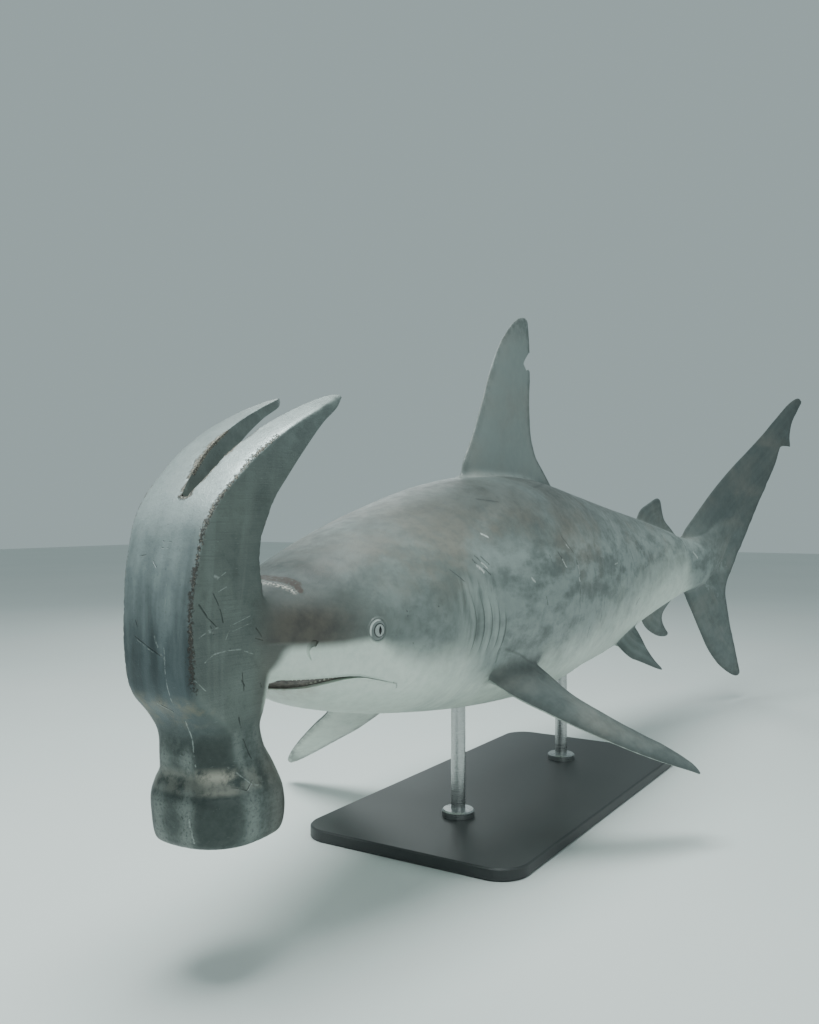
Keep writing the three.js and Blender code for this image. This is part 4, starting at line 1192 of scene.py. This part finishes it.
steel = Finish("worn_forged_steel")
steel_at = steel.where()
steel_x, steel_y, steel_up = steel.split(steel_at)
s_there = steel.sum("ADD", steel_x, STAND_AT / 1000)
z_there = steel.sum("SUBTRACT", steel_up, AXIS_HEIGHT / 1000)
waver = steel.sum("MULTIPLY_ADD", steel.cloud(steel_at, 70, 3), 0.0036, -0.0018)
front_plane = steel.plane(steel.sum("MULTIPLY_ADD", steel_y, -1.0, waver), z_there)
cheek_plane = steel.plane(steel.sum("ADD", s_there, waver), z_there)
facing_front = steel.attribute("front")
facing_left = steel.step(steel_y, -0.03, -0.045)
on_cheek = steel.product(facing_left, steel.sum("SUBTRACT", 1.0, facing_front))
edge = steel.attribute("edge")
broad = steel.cloud(steel_at, 9, 5, 0.6)
patchy = steel.cloud(steel_at, 34, 6, 0.65)
grain = steel.cloud(steel_at, 220, 4, 0.7)
pits = steel.cloud(steel_at, 420, 3, 0.7)
ground = steel.cloud(steel.turned(steel_at, (14, 14, 380), (0, 0.05, 0)), 1, 3, 0.6)
streaks = steel.cloud(steel.turned(steel_at, (1, 11, 1.6)), 4, 5, 0.5, 0.3)

# Cheeks: mottled grey with soft upright bands and fine level grinding marks. The claws are paler.
tone = steel.mix(steel.step(broad, 0.35, 0.65), "#636a67", "#747c77")
tone = steel.over(tone, "#555c59", steel.step(patchy, 0.5, 0.72), 0.4)
bands = steel.cloud(steel.turned(steel_at, (17, 1, 1.7)), 1, 4, 0.55, 0.4)
tone = steel.over(tone, "#838b86", steel.step(bands, 0.48, 0.62), 0.45)
tone = steel.over(tone, "#5a615e", steel.step(ground, 0.5, 0.72), 0.35)
claw_tone = steel.mix(steel.step(patchy, 0.4, 0.7), "#727a78", "#868f8c")
tone = steel.over(tone, claw_tone, steel.step(z_there, 0.19, 0.33))

# Front: dark and streaked below, deepened by painted shade, and nearly bare and bright above, brightened by
# painted light from overhead
shaded_front_low = steel.mix(steel.step(streaks, 0.3, 0.7), "#475052", "#566164")
lit_front_high = steel.mix(steel.step(patchy, 0.35, 0.75), "#c0cac9", "#a3adae")
front_height = steel.sum("MULTIPLY_ADD", streaks, 0.16, z_there)
front_tone = steel.mix(steel.step(front_height, 0.05, 0.31), shaded_front_low, lit_front_high)
tone = steel.over(tone, front_tone, facing_front)

# Neck and striking face: patchy, with painted shade, darkest on the flats between front and cheeks and
# fainter on the front
blotchy = steel.cloud(steel_at, 110, 4, 0.65)
neck_patch = steel.sum("MULTIPLY_ADD", patchy, 0.55, steel.product(blotchy, 0.45))
neck_tone = steel.mix(steel.step(neck_patch, 0.38, 0.62), "#4a5250", "#69716e")
tone = steel.over(tone, neck_tone, steel.step(z_there, -0.085, -0.14))
on_poll = steel.step(z_there, -0.17, -0.2)
flat_shade = steel.sum(
    "MULTIPLY_ADD", steel.attribute("corner"), steel.sum("MULTIPLY_ADD", on_poll, -0.4, 0.75),
    steel.product(facing_front, steel.sum("MULTIPLY_ADD", on_poll, 0.3, 0.3)),
)
flat_shade = steel.product(flat_shade, steel.step(z_there, -0.08, -0.13))
tone = steel.over(tone, "#3a413f", flat_shade)

# Tan stains under the front, and a beige painted highlight on the shoulder above the striking face, strongest
# on the flats between front and left cheek
tan_marks = strokes(steel, cheek_plane, [(-4, -72, 26, -82, 28), (24, -93, 30, -98, 22)])
tone = steel.over(tone, "#948c76", tan_marks, steel.step(patchy, 0.4, 0.6), 0.5)
shoulder_highlight = steel.product(
    steel.step(z_there, -0.203, -0.193), steel.step(z_there, -0.16, -0.178), steel.step(patchy, 0.36, 0.56),
)
shoulder_highlight = steel.product(shoulder_highlight, steel.sum("MULTIPLY_ADD", steel.attribute("corner"), 0.65, 0.2))
tone = steel.over(tone, "#cdc8b9", shoulder_highlight)
tone = steel.over(tone, "#4b524f", steel.step(grain, 0.55, 0.75), 0.35)

# A pitted crease along the edge between front and cheek, and rubbed edges round the neck
claw_edge = steel.sum("MULTIPLY_ADD", steel.step(z_there, 0.16, 0.3), 0.1, edge)
crease_band = steel.product(
    steel.step(steel.sum("MULTIPLY_ADD", grain, 1.2, claw_edge), 0.98, 1.16),
    steel.step(z_there, -0.11, -0.04),
    0.9,
)
pale_pits = steel.sum("MULTIPLY_ADD", steel.step(z_there, 0.05, 0.3), 0.12, pits)
pitted = steel.mix(steel.step(pale_pits, 0.58, 0.68), "#37312c", "#a39b8b")
tone = steel.over(tone, pitted, crease_band)
rubbed = steel.product(
    steel.step(edge, 0.1, 0.4), steel.step(z_there, -0.06, -0.11), steel.step(grain, 0.25, 0.55),
)
tone = steel.over(tone, "#9ea5a0", rubbed, 0.45)

# Scratches: bright where they are shallow, dark where they are deep
cheek_gouges = strokes(steel, cheek_plane, [
    (9, 64, 26, 45, 3.4), (26, 45, 42, 32, 2.6), (34, 79, 50, 55, 2.2), (50, 55, 56, 36, 2.4),
    (31, 34, 38, 22, 1.8), (93, -36, 96, -62, 2.4), (92, -48, 98, -56, 3.6), (131, -58, 133, -62, 4.2),
    (133, -82, 136, -90, 3.4), (84, -98, 86, -112, 3.0), (18, -108, 18, -124, 3.4), (88, -128, 96, -144, 2.2),
    (96, -144, 104, -158, 2.4), (66, -190, 84, -196, 2.4), (84, -196, 98, -186, 2.2), (120, 22, 128, 10, 2.6),
    (118, 8, 130, 4, 2.0), (140, 98, 146, 90, 5.0), (62, 4, 70, -2, 1.6), (20, -204, 60, -203, 2.6),
])
cheek_scratches = strokes(steel, cheek_plane, [
    (20, -14, 38, -5, 2.4), (38, -5, 62, -3, 2.6), (62, -3, 90, -5, 2.2), (90, -5, 114, -14, 1.8),
    (37, 100, 44, 97, 5.0), (44, 97, 58, 104, 1.8), (44, 78, 60, 84, 1.8), (28, 28, 46, 30, 2.4),
    (30, 26, 36, 24, 4.6), (70, 30, 110, 40, 1.4), (74, 22, 112, 30, 1.3), (60, 12, 68, 24, 1.6),
    (10, 20, 22, 25, 1.6), (66, -163, 96, -192, 2.8), (98, -192, 106, -194, 2.6), (4, -36, 22, -52, 1.8),
])
front_gouges = strokes(steel, front_plane, [
    (-30, 18, 0, 4, 2.2), (0, 4, 20, -5, 2.6), (-34, 126, -20, 128, 2.2), (8, 147, 22, 146, 2.2),
    (8, 138, 18, 138, 1.8), (-4, 120, 4, 112, 1.8), (4, -74, 18, -82, 2.4), (-30, 40, -26, 32, 3.0),
])
front_scratches = strokes(steel, front_plane, [
    (-28, 14, 4, -1, 1.6), (17, -2, 24, -10, 4.4), (26, 104, 25, 40, 1.3), (24, 6, 26, -70, 2.0),
    (27, -96, 34, -160, 2.2), (-4, -73, 14, -84, 1.6), (8, 20, 14, 4, 4.0), (30, -222, 36, -262, 3.2),
])
hair_cloud = steel.cloud(steel.turned(steel_at, (90, 90, 900), (0, 0.6, 0)), 1, 2)
hair_lines = steel.product(steel.step(hair_cloud, 0.69, 0.76), 0.5)
fading = steel.step(steel.cloud(steel_at, 95, 3), 0.34, 0.52)
deep = steel.sum(
    "MAXIMUM", steel.product(cheek_gouges, on_cheek), steel.product(front_gouges, facing_front),
)
deep = steel.product(deep, fading, 0.85)
bright = steel.sum(
    "MAXIMUM", steel.product(cheek_scratches, on_cheek), steel.product(front_scratches, facing_front),
)
bright = steel.product(steel.sum("MAXIMUM", bright, hair_lines), fading, steel.step(grain, 0.35, 0.55), 0.7)
tone = steel.over(tone, "#232625", deep)
tone = steel.over(tone, "#b4bab6", bright)

# Steel dulls and turns to hide in front of the snout: evenly above, along a slope in the pale part below
dull = steel.product(steel.step(s_there, 0.1, 0.15), steel.step(z_there, 0.1, 0.0), 0.6)
tone = steel.over(tone, "#5a5751", dull)
hide_tone = hide_tones(steel)[0]
snout_height = steel.product(steel.step(z_there, -0.108, -0.088), steel.step(z_there, 0.15, 0.1))
hide_above = steel.product(
    steel.step(steel.sum("MULTIPLY_ADD", broad, 0.04, s_there), 0.13, 0.19),
    steel.step(z_there, -0.007, 0.001),
)
lean_back = steel.sum("MULTIPLY_ADD", steel.sum("ADD", z_there, 0.062), -0.35, s_there)
hide_below = steel.product(
    steel.step(steel.sum("MULTIPLY_ADD", broad, 0.02, lean_back), 0.15, 0.168),
    steel.step(z_there, 0.001, -0.007),
)
hide_share = steel.sum("ADD", hide_above, hide_below)
hide_share = steel.sum("MAXIMUM", hide_share, steel.step(s_there, 0.168, 0.176))
hide_share = steel.product(hide_share, snout_height)
tone = steel.over(tone, hide_tone, hide_share)
bare = steel.sum("SUBTRACT", 1.0, steel.product(steel.step(s_there, 0.135, 0.172), snout_height))
bare = steel.product(bare, steel.sum("SUBTRACT", 1.0, hide_share))

# Relief: forging bumps, gouges, grinding marks and pits
relief = steel.sum("MULTIPLY_ADD", patchy, 0.9, steel.product(deep, -1.0))
relief = steel.sum("MULTIPLY_ADD", steel.product(ground, on_cheek), 0.35, relief)
pit_depth = steel.product(pits, steel.sum("MULTIPLY_ADD", crease_band, 5.0, 1.0))
steel_bump = steel.bump(pit_depth, 0.00035, steel.bump(relief, 0.0011))
steel.shade(
    base_color=tone,
    metallic=steel.product(bare, steel.sum("SUBTRACT", 1.0, crease_band), 0.6),
    roughness=steel.step(patchy, 0.3, 0.7, 0.40, 0.56),
    normal=steel_bump,
)
coat(hammer_head, steel)
hammer_head.data.set_sharp_from_angle(angle=math.radians(50))
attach(hammer_head, "root")
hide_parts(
    "hammer_face", "hammer_neck", "hammer_cheek", "hammer_claw_left", "hammer_claw_right",
)

# Mouth: a dark moist lining set back between the jaws, and behind each lip a row of small worn teeth of
# enamel, set on the jaw's edge and shorter where the mouth closes.
# Tooth rows: 1 for the lower edge or 0 for the upper, how far in, how many teeth and how tall
LINING_ROOM = (190, 368)
LINING_INSET = 11
LINING_SUNK = 1.5
TOOTH_ROWS = {"teeth_lower": (1, 6, 50, 9.5), "teeth_upper": (0, 15, 52, -3.5)}
TOOTH_REACH = (203, 300)
TOOTH_WIDTH = 7.5
LIP_CLEARANCE = 3.5
TOOTH_SHARE = 0.45

lining_s = np.linspace(*LINING_ROOM, 60)
lining_top = rows_at(LIP_ROWS, lining_s)[:, 1]
lining_low = lining_top - rows_at(MOUTH_GAPS, lining_s)[:, 1]
top_aside = np.maximum(half_width(lining_s, lining_top) - LINING_INSET, 1)
low_aside = np.maximum(np.nan_to_num(half_width(lining_s, lining_low)) - LINING_INSET, 1)
mouth_lining = loft("mouth_lining", np.stack([
    place(lining_s, top_aside, lining_top + LINING_SUNK),
    place(lining_s, low_aside, lining_low - LINING_SUNK),
    place(lining_s, -low_aside, lining_low - LINING_SUNK),
    place(lining_s, -top_aside, lining_top + LINING_SUNK),
], axis=1))
flesh = Finish("moist_mouth_lining")
flesh_cloud = flesh.cloud(flesh.where(), 120, 4, 0.65)
flesh.shade(
    base_color=flesh.mix(flesh.step(flesh_cloud, 0.3, 0.7), "#5f5a57", "#8a827d"),
    roughness=0.35,
    normal=flesh.bump(flesh_cloud, 0.001),
)
coat(mouth_lining, flesh)
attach(mouth_lining, "root")


def tooth_row_tree():
    """Small flat pointed teeth in a row along a line of points that carry each tooth's size."""
    tree = bpy.data.node_groups.new("tooth_row", "GeometryNodeTree")
    tree.interface.new_socket("Geometry", in_out="INPUT", socket_type="NodeSocketGeometry")
    tree.interface.new_socket("Teeth", in_out="INPUT", socket_type="NodeSocketInt")
    tree.interface.new_socket("Width", in_out="INPUT", socket_type="NodeSocketFloat")
    tree.interface.new_socket("Height", in_out="INPUT", socket_type="NodeSocketFloat")
    tree.interface.new_socket("Finish", in_out="INPUT", socket_type="NodeSocketMaterial")
    tree.interface.new_socket("Geometry", in_out="OUTPUT", socket_type="NodeSocketGeometry")

    def node(kind, links=(), **settings):
        made = tree.nodes.new(kind)
        for name, value in settings.items():
            setattr(made, name, value)
        for socket, source in links:
            if isinstance(source, bpy.types.NodeSocket):
                tree.links.new(source, made.inputs[socket])
            else:
                made.inputs[socket].default_value = source
        return made

    given = node("NodeGroupInput").outputs
    line = node("GeometryNodeMeshToCurve", [("Mesh", given["Geometry"])]).outputs[0]
    spots = [("Curve", line), ("Count", given["Teeth"])]
    places = node("GeometryNodeCurveToPoints", spots, mode="COUNT").outputs
    tooth = node("GeometryNodeMeshCone", [
        ("Vertices", 8), ("Radius Top", 0.06), ("Radius Bottom", 0.5), ("Depth", 1.0), ("Side Segments", 3),
    ]).outputs["Mesh"]
    size = node("GeometryNodeInputNamedAttribute", [("Name", "tooth_size")], data_type="FLOAT").outputs[0]
    change = node("FunctionNodeRandomValue", [("Min", 0.75), ("Max", 1.15), ("Seed", 7)], data_type="FLOAT")
    change_value = next(socket for socket in change.outputs if socket.enabled)
    grown = node("ShaderNodeMath", [(0, size), (1, change_value)], operation="MULTIPLY").outputs[0]
    wide = node("ShaderNodeMath", [(0, grown), (1, given["Width"])], operation="MULTIPLY").outputs[0]
    thick = node("ShaderNodeMath", [(0, wide), (1, 0.45)], operation="MULTIPLY").outputs[0]
    tall = node("ShaderNodeMath", [(0, grown), (1, given["Height"])], operation="MULTIPLY").outputs[0]
    scale = node("ShaderNodeCombineXYZ", [("X", wide), ("Y", thick), ("Z", tall)]).outputs[0]
    along = [("Vector", places["Tangent"])]
    turn = node("FunctionNodeAlignRotationToVector", along, axis="X", pivot_axis="Z")
    teeth = node("GeometryNodeInstanceOnPoints", [
        ("Points", places["Points"]), ("Instance", tooth), ("Rotation", turn.outputs[0]), ("Scale", scale),
    ]).outputs[0]
    real = node("GeometryNodeRealizeInstances", [("Geometry", teeth)]).outputs[0]
    dressing = [("Geometry", real), ("Material", given["Finish"])]
    dressed = node("GeometryNodeSetMaterial", dressing).outputs[0]
    node("NodeGroupOutput", [("Geometry", dressed)])
    return tree


enamel = Finish("worn_enamel")
enamel_cloud = enamel.cloud(enamel.where(), 300, 4)
enamel.shade(
    base_color=enamel.mix(enamel.step(enamel_cloud, 0.3, 0.7), "#b4b1a5", "#dad7ca"),
    roughness=0.3,
    normal=enamel.bump(enamel_cloud, 0.0004),
)
tooth_tree = tooth_row_tree()
tooth_sockets = tooth_tree.interface.items_tree
tooth_inputs = {socket.name: socket.identifier for socket in tooth_sockets if socket.in_out == "INPUT"}
for row_name, (lowered, inset, teeth_count, height) in TOOTH_ROWS.items():
    side_s = np.linspace(TOOTH_REACH[1], TOOTH_REACH[0] + 2 * (1 - lowered), 60)
    line = np.vstack([mouth_edge(side_s, 1, lowered, inset), mouth_edge(side_s, -1, lowered, inset)[::-1]])
    room = rows_at(MOUTH_GAPS, np.concatenate([side_s, side_s[::-1]]))[:, 1]
    line[:, 2] += lowered * LIP_CLEARANCE / 1000
    row_mesh = bpy.data.meshes.new(row_name)
    row_mesh.from_pydata(line.tolist(), [(one, one + 1) for one in range(len(line) - 1)], [])
    teeth = bpy.data.objects.new(row_name, row_mesh)
    bpy.context.scene.collection.objects.link(teeth)
    store(teeth, "tooth_size", np.minimum(TOOTH_SHARE * room / abs(height), 1))
    grow = teeth.modifiers.new("grow", "NODES")
    grow.node_group = tooth_tree
    grow[tooth_inputs["Teeth"]] = teeth_count
    grow[tooth_inputs["Width"]] = TOOTH_WIDTH / 1000
    grow[tooth_inputs["Height"]] = height / 1000
    grow[tooth_inputs["Finish"]] = enamel.material
    settle(teeth)
    shell = bmesh.new()
    shell.from_mesh(teeth.data)
    bmesh.ops.recalc_face_normals(shell, faces=shell.faces)
    shell.to_mesh(teeth.data)
    shell.free()
    coat(teeth, enamel)
    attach(teeth, "root")

# Eyes: glass balls, painted with rings, a silver iris and an upright slit pupil. Each is set into its
# socket from inside, so that the skin's lid closes round it.
EYE_BACK = 10
EYE_RINGS = 44
EYE_SIDES = 72


def eye(name, side):
    """A glass ball whose points keep where they lie across the eye, in radii of its opening."""
    sink = math.sqrt(EYE_RADIUS ** 2 - EYE_OPENING ** 2)
    widest = math.acos((sink - EYE_BACK) / EYE_RADIUS)
    profile = []
    for tilt in np.linspace(0.008, widest, EYE_RINGS):
        profile.append((EYE_RADIUS * math.cos(tilt) - sink, EYE_RADIUS * math.sin(tilt)))
    ball = loft(name, eye_rings(side, profile, EYE_SIDES))
    middle, _, back, up = eye_frame(side)
    offset = (corners(ball) - middle) * 1000 / EYE_OPENING
    store(ball, "eye_plane", np.stack([offset @ back, offset @ up, np.zeros(len(offset))], 1))
    return ball


iris = Finish("silver_eye")
eye_plane = iris.node("SeparateXYZ", {"Vector": iris.attribute("eye_plane", "Vector")})
eye_x, eye_y = eye_plane.outputs["X"], eye_plane.outputs["Y"]
eye_squares = iris.sum("ADD", iris.sum("MULTIPLY", eye_x, eye_x), iris.sum("MULTIPLY", eye_y, eye_y))
eye_radius = iris.sum("SQRT", eye_squares)
iris_fibres = iris.cloud(iris.attribute("eye_plane", "Vector"), 9, 4)
eye_tone = iris.mix(iris.step(iris_fibres, 0.3, 0.7), "#8b918f", "#b4bab7")
eye_tone = iris.over(eye_tone, "#222525", iris.step(eye_radius, 0.5, 0.56))
eye_tone = iris.over(eye_tone, "#6f7674", iris.step(eye_radius, 0.58, 0.66))
pale_rim = iris.sum("MULTIPLY_ADD", eye_y, -0.5, iris.sum("MULTIPLY", eye_x, -0.6))
pale_rim = iris.product(iris.step(pale_rim, 0.1, 0.45), iris.step(eye_radius, 0.78, 0.86))
eye_tone = iris.over(eye_tone, "#ccd2ce", pale_rim)
eye_tone = iris.over(eye_tone, "#1d2020", iris.step(eye_radius, 0.97, 1.03))
slit = iris.sum("MULTIPLY_ADD", iris.sum("MULTIPLY", eye_y, eye_y), -0.9, 0.17)
pupil = iris.step(iris.sum("SUBTRACT", slit, iris.sum("ABSOLUTE", eye_x)), 0.0, 0.03)
eye_tone = iris.over(eye_tone, "#030404", pupil)
iris.shade(base_color=eye_tone, roughness=0.06)
for eye_name, eye_side, replaced in (
    ("glass_eye_left", 1, "eye_left"), ("glass_eye_right", -1, "eye_right"),
):
    glass_eye = eye(eye_name, eye_side)
    coat(glass_eye, iris)
    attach(glass_eye, "root")
    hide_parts(replaced)

# Stand: a flat base in dark satin paint, and two short rods of brushed steel, each with a collar at its
# foot and its head sunk in the belly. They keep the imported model's solids and get their finish here.
stand_paint = Finish("dark_satin_paint")
paint_grain = stand_paint.cloud(stand_paint.where(), 500, 2)
stand_paint.shade(
    base_color=stand_paint.mix(stand_paint.cloud(stand_paint.where(), 6, 4), "#303233", "#3a3c3d"),
    roughness=0.45,
    normal=stand_paint.bump(paint_grain, 0.0002),
)
rod_steel = Finish("brushed_rod_steel")
brush_lines = rod_steel.cloud(rod_steel.turned(rod_steel.where(), (1, 1, 40)), 30, 3)
rod_steel.shade(
    base_color=rod_steel.mix(brush_lines, "#a9abab", "#c2c4c3"),
    metallic=1.0,
    roughness=rod_steel.step(brush_lines, 0.2, 0.8, 0.22, 0.38),
)
for node_name, finish in (
    ("stand_base", stand_paint), ("stand_rod_front", rod_steel), ("stand_rod_rear", rod_steel),
):
    stand_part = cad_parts[node_name]
    stand_part.data.materials.clear()
    stand_part.data.materials.append(finish.material)
